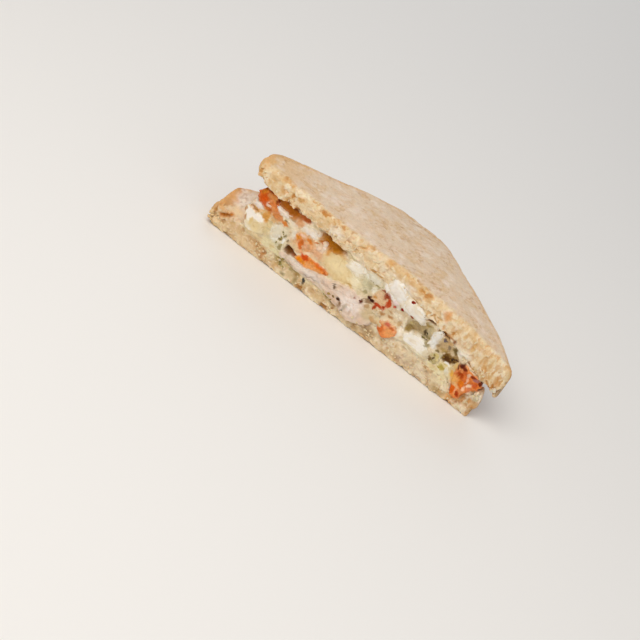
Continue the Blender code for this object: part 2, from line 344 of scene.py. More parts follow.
def add_noise(tree: bpy.types.NodeTree, place: bpy.types.NodeSocket, size: float, detail: float,
              roughness: float = 0.5) -> bpy.types.NodeSocket:
    """Add noise with features of a size in mm.

    Args:
        tree: node tree that gets it.
        place: the socket with the position.
        size: of the largest features.
        detail: number of finer layers.
        roughness: strength of each layer against the last.

    Returns:
        The socket with the noise, 0 to 1.
    """
    return add_node(tree, "ShaderNodeTexNoise",
                    {"Scale": 1.0 / (size * MM), "Detail": detail, "Roughness": roughness},
                    {"Vector": place}).outputs["Fac"]


def add_range(tree: bpy.types.NodeTree, value: bpy.types.NodeSocket, low: float, high: float,
              to_low: float, to_high: float) -> bpy.types.NodeSocket:
    """Add a node that carries the range low to high to another one, and holds it there.

    Args:
        tree: node tree that gets it.
        value: the socket that is read.
        low, high: range that is read.
        to_low, to_high: what its ends become.

    Returns:
        The socket with the result.
    """
    return add_node(tree, "ShaderNodeMapRange",
                    {"From Min": low, "From Max": high, "To Min": to_low, "To Max": to_high},
                    {"Value": value}).outputs["Result"]


@dataclass(frozen=True)
class Finish:
    """A food surface: the tone painted on the mesh, mottled and pitted by noise, over light
    that soaks in and comes out again nearby. Lengths are in mm."""
    label: str
    roughness: float
    soak: float
    soak_radius: tuple[float, float, float]
    wet: float = 0.0
    wet_roughness: float = 0.1
    ior: float = 1.4
    specular: float = 0.5
    mottle_size: float = 1.6
    mottle: float = 0.12
    pit_size: float = 0.7
    pit_depth: float = 0.08
    rough_spread: float = 0.1
    speck: float = 0.0
    speck_size: float = 0.8
    speck_tint: str = "#D9A876"

    @cache
    def material(self) -> bpy.types.Material:
        """The finish's material, made once."""
        made = bpy.data.materials.new(self.label)
        made.use_nodes = True
        tree = made.node_tree
        tree.nodes.clear()
        place = add_node(tree, "ShaderNodeTexCoord").outputs["Object"]
        tone = add_node(tree, "ShaderNodeAttribute", {"attribute_name": "tone"}).outputs["Color"]
        broad = add_noise(tree, place, self.mottle_size, 4.0, 0.6)
        shade = add_range(tree, broad, 0.3, 0.7, 1.0 - self.mottle, 1.0 + 0.6 * self.mottle)
        colour = add_node(tree, "ShaderNodeVectorMath", {"operation": "SCALE"},
                          {0: tone, "Scale": shade}).outputs["Vector"]
        if self.speck:
            spots = add_noise(tree, place, self.speck_size, 2.0)
            share = add_range(tree, spots, 0.52, 0.68, 0.0, self.speck)
            colour = add_node(tree, "ShaderNodeMix",
                              {"data_type": "RGBA", "blend_type": "MULTIPLY",
                               7: (*linear(self.speck_tint), 1.0)}, {0: share, 6: colour}).outputs[2]
        fine = add_noise(tree, place, self.pit_size, 3.0, 0.55)
        bump = add_node(tree, "ShaderNodeBump", {"Strength": 1.0, "Distance": self.pit_depth * MM},
                        {"Height": fine}).outputs["Normal"]
        rough = add_range(tree, fine, 0.3, 0.7, max(0.05, self.roughness - self.rough_spread),
                          min(1.0, self.roughness + self.rough_spread))
        shader = add_node(tree, "ShaderNodeBsdfPrincipled",
                          {"Subsurface Weight": self.soak, "Subsurface Radius": self.soak_radius,
                           "Subsurface Scale": MM, "IOR": self.ior, "Specular IOR Level": self.specular,
                           "Coat Weight": self.wet, "Coat Roughness": self.wet_roughness},
                          {"Base Color": colour, "Roughness": rough, "Normal": bump})
        add_node(tree, "ShaderNodeOutputMaterial", None, {"Surface": shader.outputs["BSDF"]})
        return made


# Baked wheat dough: dry, open and matte; light soaks a little way into the crumb.
WHEAT_CRUMB = Finish("wheat_crumb", 0.92, 0.3, (1.8, 1.1, 0.6), specular=0.25, mottle_size=2.4,
                     mottle=0.07, pit_size=0.8, pit_depth=0.16, rough_spread=0.06, speck=0.2,
                     speck_size=0.9)
# Ripe tomato flesh: wet at the surface, so highlights are small and sharp.
TOMATO_FLESH = Finish("tomato_flesh", 0.45, 0.12, (1.6, 0.5, 0.15), wet=0.08, wet_roughness=0.12,
                      specular=0.1, mottle_size=1.4, mottle=0.22, pit_size=0.8, pit_depth=0.2)
# Cooked pale meat: moist, with a satin sheen and a fine grain.
COOKED_HAM = Finish("cooked_ham", 0.5, 0.2, (1.6, 0.9, 0.6), wet=0.12, wet_roughness=0.3,
                    specular=0.4, mottle_size=1.6, mottle=0.1, pit_size=0.6, pit_depth=0.16)
# Boiled egg white: dense, smooth and slightly see-through.
BOILED_EGG_WHITE = Finish("boiled_egg_white", 0.4, 0.25, (1.8, 1.5, 1.1), wet=0.15,
                          wet_roughness=0.2, mottle_size=2.4, mottle=0.05, pit_size=1.1, pit_depth=0.08)
# Boiled yolk: dry and crumbly.
BOILED_YOLK = Finish("boiled_yolk", 0.7, 0.15, (1.2, 0.8, 0.3), specular=0.35, mottle_size=1.1,
                     mottle=0.12, pit_size=0.6, pit_depth=0.22)
# Mayonnaise: thick, glossy and almost white.
MAYONNAISE = Finish("mayonnaise", 0.36, 0.2, (1.6, 1.3, 0.9), wet=0.2, wet_roughness=0.16,
                    specular=0.4, mottle_size=2.6, mottle=0.05, pit_size=1.3, pit_depth=0.12)
# Sliced young cheese: waxy and smooth where the knife went through.
YOUNG_CHEESE = Finish("young_cheese", 0.42, 0.25, (1.8, 1.3, 0.6), wet=0.1, wet_roughness=0.25,
                      specular=0.4, mottle_size=2.6, mottle=0.08, pit_size=1.0, pit_depth=0.1)
# Cream cheese with chopped herbs: soft, matte and lumpy.
HERB_CREAM = Finish("cream_cheese_with_herbs", 0.5, 0.18, (1.5, 1.2, 0.7), wet=0.08, wet_roughness=0.3,
                    specular=0.4, mottle_size=1.3, mottle=0.14, pit_size=0.8, pit_depth=0.18)
# Picked cooked meat: fibrous and moist.
PICKED_MEAT = Finish("picked_meat", 0.5, 0.18, (1.5, 0.9, 0.5), wet=0.1, wet_roughness=0.3,
                     specular=0.4, mottle_size=1.1, mottle=0.16, pit_size=0.5, pit_depth=0.22)
# Pickled cucumber: wet, olive and partly clear.
PICKLED_CUCUMBER = Finish("pickled_cucumber", 0.34, 0.15, (1.2, 1.0, 0.3), wet=0.25,
                          wet_roughness=0.12, specular=0.35, mottle_size=1.4, mottle=0.24,
                          pit_size=0.8, pit_depth=0.18)
# Thin sauce soaked with juices, spread between the pieces: half wet, hardly glossy.
SOAKED_SAUCE = Finish("soaked_sauce", 0.5, 0.12, (1.4, 1.0, 0.5), wet=0.1, wet_roughness=0.2,
                      specular=0.15, mottle_size=1.4, mottle=0.12, pit_size=0.8, pit_depth=0.2)
# Dried herbs and ground pepper: matte flakes.
DRIED_HERB = Finish("dried_herb", 0.7, 0.0, (1.0, 1.0, 1.0), specular=0.3, mottle_size=0.6,
                    mottle=0.25, pit_size=0.3, pit_depth=0.05)


# ---------------------------------------------------------------- the slices' form


KNOT_START = -90.0
KNOT_STEP = 15.0


@dataclass(frozen=True)
class Profile:
    """A height along the cut: one value every KNOT_STEP mm from KNOT_START."""
    values: tuple[float, ...]

    def at(self, x: Array) -> Array:
        """Height at x, on a smooth curve through the values."""
        return through(self.values, (x - KNOT_START) / (KNOT_STEP * (len(self.values) - 1)))


FLOOR_TOP_CUT = Profile((13.0, 12.0, 10.6, 9.3, 8.6, 8.4, 8.8, 12.0, 13.0, 13.0, 10.8, 12.0, 14.0))
FLOOR_TOP_RIM = Profile((19.0, 19.0, 16.2, 13.5, 12.5, 12.0, 12.0, 12.0, 12.5, 12.5, 12.5, 13.0, 14.0))
LID_UNDER_CUT = Profile((39.5, 38.8, 36.8, 36.8, 36.3, 35.2, 34.2, 33.9, 33.2, 32.0, 28.0, 22.6, 19.5))
LID_OUTER_CUT = Profile((50.0, 49.2, 48.0, 46.8, 46.0, 45.6, 45.5, 45.4, 44.8, 43.6, 41.6, 39.0, 36.0))
LID_OUTER_RIM = Profile((50.0, 49.4, 47.0, 43.2, 40.0, 36.8, 33.6, 34.0, 36.2, 38.2, 38.8, 38.0, 35.6))
LID_THICK_RIM = Profile((11.5, 11.5, 11.5, 11.5, 11.0, 10.6, 10.4, 10.6, 11.2, 12.0, 13.5, 15.0, 15.5))
FLOOR_RISE_POWER = 2.0
LID_DROOP_POWER = 1.7
FACE_RELIEF = 0.35
RIM_WANDER = 0.8


def half_chord(radius: float, offset: Array) -> Array:
    """Half the width of a circle at an offset from its centre."""
    return np.sqrt(np.maximum(radius**2 - offset**2, 0.0))


@dataclass(frozen=True)
class Plan:
    """Outline of a slice seen from above: square corners, rounded, sides at 45 degrees to
    the cut, and the cut itself along y = 0."""
    left: tuple[float, float]
    apex: tuple[float, float]
    right: tuple[float, float]
    left_radius: float
    apex_radius: float
    right_radius: float
    left_swell: float = 0.0

    def ends(self) -> tuple[float, float]:
        """The two ends along X."""
        centre = self.right[0] - math.sqrt(2) * self.right_radius
        drop = max(0.0, -self.right[1])
        return (self.left[0] + (math.sqrt(2) - 1) * self.left_radius,
                centre + math.sqrt(self.right_radius**2 - drop**2))

    def tips(self, x: Array) -> tuple[Array, Array, Array, Array]:
        """Where the round corner at each tip rules, and half its width at x."""
        (lx, _), (rx, _) = self.left, self.right
        on_left = x < lx + self.left_radius / math.sqrt(2)
        on_right = x > rx - self.right_radius / math.sqrt(2)
        left = half_chord(self.left_radius, x - lx - math.sqrt(2) * self.left_radius)
        right = half_chord(self.right_radius, x - rx + math.sqrt(2) * self.right_radius)
        return on_left, on_right, left, right

    def far(self, x: Array) -> Array:
        """y of the crust: the nearer of the two sides, arcs at the three corners, and a
        slow wander along the sides."""
        (lx, ly), (ax, ay), (rx, ry) = self.left, self.apex, self.right
        side = np.minimum(ly + (x - lx), ry + (rx - x))
        crown = ay - math.sqrt(2) * self.apex_radius + half_chord(self.apex_radius, x - ax)
        side = np.where(np.abs(x - ax) < self.apex_radius / math.sqrt(2), crown, side)
        side = side + RIM_WANDER * np.sin(x / 9.0) * ease(20, 50, side)
        on_left, on_right, left, right = self.tips(x)
        far = np.where(on_right, ry + right, np.where(on_left, ly + left, side))
        return far + self.left_swell * ease(-40.0, -72.0, x)

    def near(self, x: Array) -> Array:
        """y of the side at the cut: 0, and the back of the arc at each tip."""
        on_left, on_right, left, right = self.tips(x)
        near = np.where(on_left, np.maximum(self.left[1] - left, 0.0), 0.0)
        return np.where(on_right, np.maximum(self.right[1] - right, near), near)

    def depth(self, x: Array, y: Array) -> Array:
        """How far y is on the way from the cut, 0, to the crust, 1."""
        return np.clip(y / np.maximum(self.far(x), 1.0), 0.0, 1.0)


LOWER = Plan((-92.0, 9.0), (-6.5, 94.5), (87.0, 1.0), 13.7, 22.0, 12.0, left_swell=2.0)
UPPER = Plan((-79.3, 8.7), (1.0, 89.0), (93.0, -3.0), 14.0, 28.0, 12.0)


def ground(x: Array, y: Array) -> Array:
    """The flat underside of the lower slice."""
    return np.zeros(np.broadcast(x, y).shape)


def floor_top(x: Array, y: Array) -> Array:
    """Height of the lower slice's inner face: the cut's height, then a square rise to the rim's."""
    share = LOWER.depth(x, y) ** FLOOR_RISE_POWER
    return FLOOR_TOP_CUT.at(x) * (1 - share) + FLOOR_TOP_RIM.at(x) * share


def lid_outer(x: Array, y: Array) -> Array:
    """Height of the upper slice's outer face: it droops to the rim, with slight unevenness."""
    share = UPPER.depth(x, y) ** LID_DROOP_POWER
    wave = np.sin(x / 8.5 + 0.6 * np.sin(y / 12)) * np.cos(y / 10.5 + 0.5) - 0.4
    return LID_OUTER_CUT.at(x) * (1 - share) + LID_OUTER_RIM.at(x) * share + FACE_RELIEF * wave


def lid_under(x: Array, y: Array) -> Array:
    """Height of the upper slice's inner face."""
    share = UPPER.depth(x, y) ** LID_DROOP_POWER
    return LID_UNDER_CUT.at(x) * (1 - share) + (LID_OUTER_RIM.at(x) - LID_THICK_RIM.at(x)) * share


# ---------------------------------------------------------------- bread


@dataclass(frozen=True)
class Stain:
    """A soft patch of colour on a surface, round a place in the frame of the cut."""
    place: tuple[float, float, float]
    reach: tuple[float, float, float]
    colour: str
    strength: float

    def over(self, tone: Array, points: Array, seed: int) -> Array:
        """Blend the patch into tones: its share falls off as exp(-distance^2), and cloudy
        noise shifts the distance so that the edge wanders.

        Args:
            tone: linear colours.
            points: their places.
            seed: of the noise.

        Returns:
            Stained colours.
        """
        away = (points - np.array(self.place)) / np.array(self.reach)
        far = (away**2).sum(axis=-1)
        share = np.exp(-(far * (1.0 + 0.9 * soft_noise(points, 2.4, seed))) ** 1.5)
        return mix(tone, linear(self.colour), self.strength * share)


STAIN_DEPTH = 3.0


def on_cut(*rows: tuple[float, float, float, float, str, float]) -> tuple[Stain, ...]:
    """Stains with their middle on the cut plane.

    Args:
        rows: x, z, reach along x and z, colour and strength of each.

    Returns:
        The stains.
    """
    return tuple(Stain((x, 0.0, z), (wide, STAIN_DEPTH, high), colour, strength)
                 for x, z, wide, high, colour, strength in rows)


GROOVE_FADE = 2.0
GROOVE_WANDER = 0.5
GROOVE_SEED = 77


@dataclass(frozen=True)
class Groove:
    """A torn line in a cut face, from one place (x, z) to another, that ends at a depth behind the cut. Its
    colour darkens the crease as painted shade."""
    start: tuple[float, float]
    end: tuple[float, float]
    width: float
    depth: float
    colour: str
    behind: float = 4.0

    def share(self, points: Array) -> Array:
        """1 along the line, falling to 0 at about its width: exp(-(distance / width)^2), with
        the distance to the line shifted by cloudy noise.

        Args:
            points: places.

        Returns:
            Share at each place.
        """
        a, b = np.array(self.start), np.array(self.end)
        flat = points[..., [0, 2]]
        along = np.clip(((flat - a) @ (b - a)) / ((b - a) @ (b - a)), 0.0, 1.0)
        near = flat - (a + along[..., None] * (b - a))
        far = np.hypot(near[..., 0], near[..., 1]) + GROOVE_WANDER * cloud(points, 2.0, GROOVE_SEED)
        shown = ease(self.behind, self.behind - GROOVE_FADE, points[..., 1])
        return np.exp(-(np.maximum(far, 0.0) / self.width) ** 2) * shown


FACE_SPACING = 1.35
CRUST_BOXINESS = 0.6
LIP_HEIGHT = (0.66, 0.86)
LIP_ZONE = (72.0, 80.0)
TIP_SINK = 0.45
TORN_ZONE = (-73.0, -79.0)
TORN_DEPTH = (16.0, 9.0)
CELL_STRETCH = np.array([1.0, 0.6, 1.0])
CELL_BEND = 0.9
MIDDLE_HEIGHT = 30.0
TALLER_CELLS = 0.3
TALLER_ZONE = (20.0, 60.0)
CLOSED_TIP = (50.0, 62.0)
NARROW_CELLS = 0.35
NARROW_FROM = 52.0


@dataclass
class BreadSlice:
    """One slice of wheat bread, lofted along X from closed loops in (y, z)."""
    name: str
    plan: Plan
    under: Callable
    over: Callable
    under_points: int
    over_points: int
    under_nose: float
    over_nose: float
    stains: tuple[Stain, ...] = ()
    grooves: tuple[Groove, ...] = ()
    seed: int = 1
    stations: int = 430
    crust_points: int = 26
    cut_points: int = 46
    crust_round: float = 3.0
    left_lift: float = 0.0
    right_swell: tuple[float, float] = (1.0, 0.0)
    right_flap: tuple[float, float, float] = (80.0, 84.0, 0.0)
    blotch: float = 0.55
    tip_bulge: float = 2.0
    bulge_power: float = 1.0
    torn_below: float = -9.0
    tip_zone: tuple[float, float] = (62.0, 86.0)
    tip_round: float = 3.0
    crumb_colour: str = "#EAD3AB"
    shade_colour: str = "#DDB57D"
    wall_colour: str = "#F2E4C8"
    # cell and pore tones are painted shade in the holes of the open crumb
    cell_colour: str = "#D49A50"
    pore_colour: str = "#B87636"
    face_colour: str = "#E3CCB2"
    face_shade: str = "#DCBA8E"
    face_flour: str = "#F3E5D9"
    face_speck: str = "#BE9066"
    crust_colour: str = "#D09A5A"
    crust_dark: str = "#AE7036"
    grid: Array = field(default=None, init=False)

    def stations_x(self) -> Array:
        """Places of the stations along X, closer together towards the tips."""
        start, end = self.plan.ends()
        s = np.linspace(0.0, 1.0, self.stations)
        s = 0.7 * s + 0.3 * (0.5 - 0.5 * np.cos(math.pi * s))
        return (start + 0.02 + (end - start - 0.04) * s)[:, None]

    def outline(self, x: Array, near: Array, far: Array, rounding: Array) -> tuple[Array, Array]:
        """The loops: under face, crust, over face, cut face. The cut meets each face on an
        arc, the nose, as soft bread does under a knife.

        Args:
            x: the stations.
            near, far: y of the cut and of the crust.
            rounding: radius where the faces meet the crust.

        Returns:
            y and z of each point.
        """
        under_nose = np.minimum(self.under_nose, 0.25 * (far - near))
        over_nose = np.minimum(self.over_nose, 0.25 * (far - near))

        def face(count: int, nose: Array) -> tuple[Array, Array]:
            """y from the nose at the cut to the start of the crust, and the nose's height."""
            share = np.linspace(0.0, 1.0, count)[None, :] ** FACE_SPACING
            start = near + (1.0 - math.sqrt(0.5)) * nose
            y = start + (far - rounding - start) * share
            return y, nose - half_chord(nose, np.maximum(nose - (y - near), 0.0))

        low_y, low_lift = face(self.under_points, under_nose)
        high_y, high_drop = face(self.over_points, over_nose)
        low_z = self.under(x, low_y) + low_lift
        high_z = self.over(x, high_y) - high_drop

        angle = self.crust_angles()
        rim_y = far - rounding + rounding * np.cos(angle) ** CRUST_BOXINESS
        middle = 0.5 * (self.under(x, rim_y) + self.over(x, rim_y))
        half = 0.5 * (self.over(x, rim_y) - self.under(x, rim_y))
        rim_z = middle + half * boxed(angle, CRUST_BOXINESS)

        up = np.linspace(1.0, 0.0, self.cut_points + 2)[None, 1:-1]
        top, bottom = high_z[:, :1], low_z[:, :1]
        cut_z = bottom + (top - bottom) * up
        to_top = np.maximum(over_nose - (self.over(x, near) - cut_z), 0.0)
        to_bottom = np.maximum(under_nose - (cut_z - self.under(x, near)), 0.0)
        cut_y = near + over_nose - half_chord(over_nose, to_top)
        cut_y = cut_y + under_nose - half_chord(under_nose, to_bottom)
        return (np.concatenate([low_y, rim_y, high_y[:, ::-1], cut_y], axis=1),
                np.concatenate([low_z, rim_z, high_z[:, ::-1], cut_z], axis=1))

    def crust_angles(self) -> Array:
        """Angles round the crust, from under to over, as one row."""
        return np.linspace(-0.5 * math.pi, 0.5 * math.pi, self.crust_points + 2)[None, 1:-1]

    def swell(self, x: Array, height: Array) -> Array:
        """How far the tips bulge along X: most at mid-height, and on the right as much of it
        as right_swell keeps, with a lip that hangs over at the top.

        Args:
            x: places along the cut.
            height: 0 at the under face, 1 at the over face.

        Returns:
            Bulge in mm.
        """
        at_tips = ease(*self.tip_zone, np.abs(x))
        swell = self.tip_bulge * np.sin(math.pi * height) ** self.bulge_power * at_tips
        kept, overhang = self.right_swell
        lip = overhang * ease(*LIP_HEIGHT, height) * ease(*LIP_ZONE, x)
        return np.where(x > 0, kept * swell + lip, swell)

    def loops(self) -> tuple[Array, Array, Array]:
        """One closed loop at each station, swollen and rounded off towards both tips.

        Returns:
            Points, share of cut face and share of crust at each point.
        """
        x = self.stations_x()
        near, far = self.plan.near(x), self.plan.far(x)
        rounding = np.minimum(self.crust_round, 0.5 * (far - near))
        y, z = self.outline(x, near, far, rounding)
        low, high = self.under(x, near), self.over(x, near)
        swell = self.swell(x, np.clip((z - low) / (high - low), 0.0, 1.0))
        tip = np.minimum(x - self.plan.ends()[0], self.plan.ends()[1] - x)
        sink = 1.0 - half_chord(1.0, np.maximum(1.0 - tip / self.tip_round, 0.0))
        rise = np.clip((z - low) / (high - low), 0.0, 2.0)
        z = z - TIP_SINK * sink * rise**2 * (high - low)
        blur = 1.8 * cloud(np.stack([x + 0 * y, y, z], axis=-1), 3.4, self.seed + 2)

        on_cut = np.zeros(y.shape)
        on_cut[:, -self.cut_points:] = 1.0
        on_cut = np.maximum(on_cut, ease(5.4, 0.4, y - near + blur))
        on_cut = on_cut * ease(0.0, 1.2, far) * (near < 0.5)
        torn = ease(*TORN_ZONE, x + blur) * ease(1.0, -2.0, z - self.torn_below + blur)
        torn = torn * ease(*TORN_DEPTH, y)
        on_cut = np.maximum(on_cut, torn)

        on_crust = np.zeros(y.shape)
        rim = slice(self.under_points, self.under_points + self.crust_points)
        on_crust[:, rim] = np.cos(self.crust_angles()) ** 0.45
        back = np.maximum(far - rounding - y, 0.0)
        on_crust = np.maximum(on_crust, 0.7 * ease(2.0, 0.0, back + 0.4 * blur) * (back > 0))
        on_crust = np.maximum(on_crust, 0.7 * ease(3.0, 0.4, tip)) * (1.0 - 0.9 * torn)
        return np.stack([x + np.sign(x) * swell, y, z], axis=-1), on_cut, on_crust

    def shape(self) -> tuple[Array, Array]:
        """Loops with the crumb's relief: open cells, round pores and fine grain on the cut,
        shallow pores on the broad faces, a faint wrinkle on the crust, all pressed inwards.

        Returns:
            Points and their linear colours.
        """
        points, on_cut, on_crust = self.loops()
        normal = grid_normals(points)
        cells, small, wall = self.crumb(points)
        ripple = cloud(points, 6.0, self.seed + 17)
        fine = cloud(points, 0.9, self.seed + 19, 2)
        on_face = (1.0 - on_cut) * (1.0 - on_crust)
        deep = on_cut * (0.62 * cells + 0.35 * small - 0.3 * wall + 0.12 * (1.0 + fine) - 0.2)
        deep += on_face * (0.1 * small + 0.08 * cells + 0.15 * (1.0 + ripple) + 0.07 * (1.0 + fine))
        deep += on_crust * (0.3 * cells + 0.15 * (1.0 + ripple) + 0.05 * (1.0 + fine) - 0.35)
        for groove in self.grooves:
            deep += groove.depth * groove.share(points)
        flat = (points[..., 2] < 0.02) & (on_cut < 0.5)
        points = points - normal * np.where(flat, 0.0, deep)[..., None]
        edge = self.edge_share(points)
        at_cut = ease(3.0, 0.0, points[..., 1])
        torn = cloud(points * np.array([1.0, 0.4, 0.0]), 3.0, self.seed + 23)
        inner, outer = ease(0.55, 1.0, edge), ease(0.45, 0.0, edge)
        sign = -1.0 if self.under is lid_under else 1.0
        shift = at_cut * (sign * inner * (0.95 * torn - 0.25))
        start, end, flap = self.right_flap
        shift = shift + self.left_lift * inner * ease(-60.0, -72.0, points[..., 0])
        shift = shift + flap * inner * ease(start, end, points[..., 0] + torn)
        if self.under is ground:
            shift = shift + at_cut * outer * 0.8 * np.maximum(torn + 0.1, 0.0)
        points[..., 2] += np.where(flat & (points[..., 1] > 2.5), 0.0, shift)
        points[..., 2] = np.maximum(points[..., 2], 0.0)
        tone = self.tones(points, on_cut, on_crust, cells, small, wall, ripple)
        return inside_box(points), tone

    def crumb(self, points: Array) -> tuple[Array, Array, Array]:
        """Open crumb: uneven cells of two sizes where cloudy noise, bent by finer noise, rises
        over a threshold, and thick walls between them. Towards the closed tip the cells are
        drawn narrower and taller, and are never sparse.

        Args:
            points: places.

        Returns:
            Shares of large cell, small cell and thick wall.
        """
        bend = np.stack([cloud(points, 1.8, self.seed + 41, 2), 0.0 * points[..., 0],
                         cloud(points, 1.8, self.seed + 43, 2)], axis=-1)
        place = points * CELL_STRETCH + CELL_BEND * bend
        taller = 1.0 - TALLER_CELLS * ease(*TALLER_ZONE, points[..., 0])
        place[..., 2] = (place[..., 2] - MIDDLE_HEIGHT) * taller
        patchy = 0.3 + 0.7 * ease(-0.5, 0.4, cloud(points, 8.0, self.seed + 27))
        lively = 0.5 + 0.35 * cloud(points, 3.0, self.seed + 45)
        patchy = np.maximum(patchy, lively * ease(*CLOSED_TIP, points[..., 0]))
        place[..., 0] += NARROW_CELLS * np.maximum(points[..., 0] - NARROW_FROM, 0.0)
        large = ease(0.05, 0.54, cloud(place, 2.4, self.seed, 2)) * patchy
        small = ease(0.1, 0.56, cloud(place, 1.2, self.seed + 5, 2)) * patchy
        return large, small, ease(0.0, 0.6, cloud(place, 2.1, self.seed + 9, 2))

    def edge_share(self, points: Array) -> Array:
        """1 at the slice's inner edge on the cut, where the crumb is torn, 0 at its outer edge."""
        x = points[..., 0]
        low, high = self.under(x, 0.0 * x), self.over(x, 0.0 * x)
        height = np.clip((points[..., 2] - low) / (high - low), 0.0, 1.0)
        return 1.0 - height if self.under is lid_under else height

    def tones(self, points: Array, on_cut: Array, on_crust: Array, cells: Array,
              small: Array, wall: Array, ripple: Array) -> Array:
        """Colours of the bread: pale crumb walls, tan cells with browner pores that are painted shade in the
        open crumb, pinkish and floury faces with fine specks and painted shade in their pores, a golden to
        brown crust with painted shade in its pits, then stains, among them a pale patch of painted light, and
        grooves darkened with painted shade.

        Args:
            points: places.
            on_cut, on_crust: shares of cut face and crust.
            cells, small: shares of large and small open cell.
            wall: share of thick wall.
            ripple: slow cloudy noise.

        Returns:
            Linear colours.
        """
        patchy = ease(-0.4, 0.6, cloud(points, 7.0, self.seed + 27))
        cut = mix(linear(self.crumb_colour), linear(self.shade_colour), self.blotch * patchy)
        cut = mix(cut, linear(self.wall_colour), 0.75 * wall)
        # painted shade: open cells and pores on the cut are darkened to tan and brown
        cut = mix(cut, linear(self.cell_colour), 0.9 * np.maximum(cells, 0.7 * small))
        cut = mix(cut, linear(self.pore_colour), 0.5 * ease(0.7, 1.0, cells))
        face = mix(linear(self.face_colour), linear(self.face_shade), 0.7 * ease(-0.2, 0.9, ripple))
        face = mix(face, linear(self.face_shade), 0.8 * ease(-48.0, -62.0, points[..., 0]))
        haze = cloud(points, 5.0, self.seed + 21)
        face = mix(face, linear(self.face_flour), 0.4 * ease(0.0, 0.8, haze))
        face = mix(face, linear(self.face_speck), 0.6 * small * ease(-0.6, 0.5, ripple - 0.5 * haze))
        # painted shade in the pores of the faces
        face = mix(face, linear(self.face_shade), 0.4 * cells)
        tone = mix(face, cut, on_cut)
        tone = mix(tone, linear(self.crust_colour), on_crust * (0.75 + 0.25 * ripple))
        # painted shade in the pits of the crust
        tone = mix(tone, linear(self.pore_colour), 0.45 * on_crust * cells)
        dark = ease(0.6, 1.0, on_crust) * ease(-0.5, 0.7, cloud(points, 4.0, self.seed + 29))
        tone = mix(tone, linear(self.crust_dark), 0.6 * dark)
        for number, stain in enumerate(self.stains):
            tone = stain.over(tone, points, self.seed + 31 + number)
        # painted shade in the pits towards the left tip
        tone = mix(tone, linear(self.pore_colour), 0.4 * cells * ease(-70.0, -77.0, points[..., 0]))
        # painted shade along the torn creases
        for groove in self.grooves:
            tone = mix(tone, linear(groove.colour), groove.share(points))
        return tone

    def build(self) -> bpy.types.Object:
        """Make the slice, which stands for its CAD node.

        Returns:
            The slice's object.
        """
        self.grid, tone = self.shape()
        piece = tube_object(self.name + "_crumb", self.grid, tone)
        return hand_over(piece, WHEAT_CRUMB, self.name)


def hand_over(piece: bpy.types.Object, finish: Finish,
              node: str | None = None) -> bpy.types.Object:
    """Coat a piece, hang it on the body's empty and hide the CAD node that it stands for.

    Args:
        piece: the object.
        finish: its surface.
        node: CAD node that it stands for, or None for an addition.

    Returns:
        The same object.
    """
    piece.data.materials.append(finish.material())
    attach(piece, ROOT)
    if node:
        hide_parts(node)
    LOG.info("%s: %d faces", piece.name, len(piece.data.polygons))
    return piece


# ---------------------------------------------------------------- filling


class Relief(Enum):
    """Kinds of unevenness that a piece of filling can have."""
    SMOOTH = "smooth"
    LUMPY = "lumpy"
    FLESHY = "fleshy"
    FIBROUS = "fibrous"
    SHREDDED = "shredded"
    WRINKLED = "wrinkled"

    def height(self, points: Array, seed: int) -> Array:
        """How far the surface stands out or sinks in at each place, in mm: sums of cloudy
        noise, stretched along the fibres or folded to ridges where the kind has them.

        Args:
            points: places in mm.
            seed: of the noise.

        Returns:
            Heights in mm.
        """
        if self is Relief.SMOOTH:
            return 0.22 * cloud(points, 4.5, seed) + 0.03 * cloud(points, 1.0, seed + 5)
        if self is Relief.LUMPY:
            return 0.38 * cloud(points, 2.8, seed) + 0.12 * cloud(points, 0.9, seed + 5)
        if self is Relief.FLESHY:
            ridge = 1.0 - np.abs(cloud(points * np.array([0.6, 0.5, 1.3]), 3.2, seed))
            folds = 0.3 * cloud(points, 3.4, seed + 3) + 0.28 * ridge - 0.2
            return folds + 0.05 * cloud(points, 0.8, seed + 5)
        if self is Relief.FIBROUS:
            fibre = cloud(points * np.array([0.5, 0.25, 1.3]), 1.8, seed)
            return 0.42 * cloud(points, 3.4, seed + 3) + 0.26 * fibre
        if self is Relief.SHREDDED:
            ridge = 1.0 - 1.6 * np.abs(cloud(points * np.array([0.7, 0.5, 1.4]), 3.0, seed))
            return 0.55 * ridge + 0.2 * cloud(points, 1.1, seed + 5)
        ridge = 1.0 - 1.4 * np.abs(cloud(points * np.array([1.0, 0.4, 1.0]), 2.4, seed))
        return 0.32 * ridge + 0.08 * cloud(points, 0.9, seed + 5)


CLEARANCE = 0.1
REACH_MARGIN = 2.0
SWAY = 1.5
BOXINESS = 0.4
THINNING = 0.04
LOBE_FRONT = -1.7
LOBE_BACK = -0.8
FLAT_PART = 0.86
ROUND_PART = 0.14
LOBE_EDGE = 0.9
LOBE_RIM = 0.9
BODY_FRONT = -0.35
BODY_EDGE = 0.8
LEAN_DEPTH = 1.1
LONG_RINGS = 42
LONG_SPACING = 1.15
SWELL = 1.05
MOIST = 0.98
CONTRAST = np.array([0.3, 0.4, 0.53])
MIDDLE_LIGHT = 0.62
PAINT_DEPTH = (10.0, 3.0)
SHARP_POWER = 3.0
SOFT_POWER = 1.5
BROAD_FROM = (2.4, 5.0)
BEHIND_TINT = np.array([1.04, 0.98, 0.86])
# tint of the painted shade in the creases between pieces
VEIN_TINT = np.array([0.8, 0.62, 0.42])
WHITEST = "#F9F1E6"
EYE = np.array([0.2126, 0.7152, 0.0722])
CREAM = "#EBD9BC"


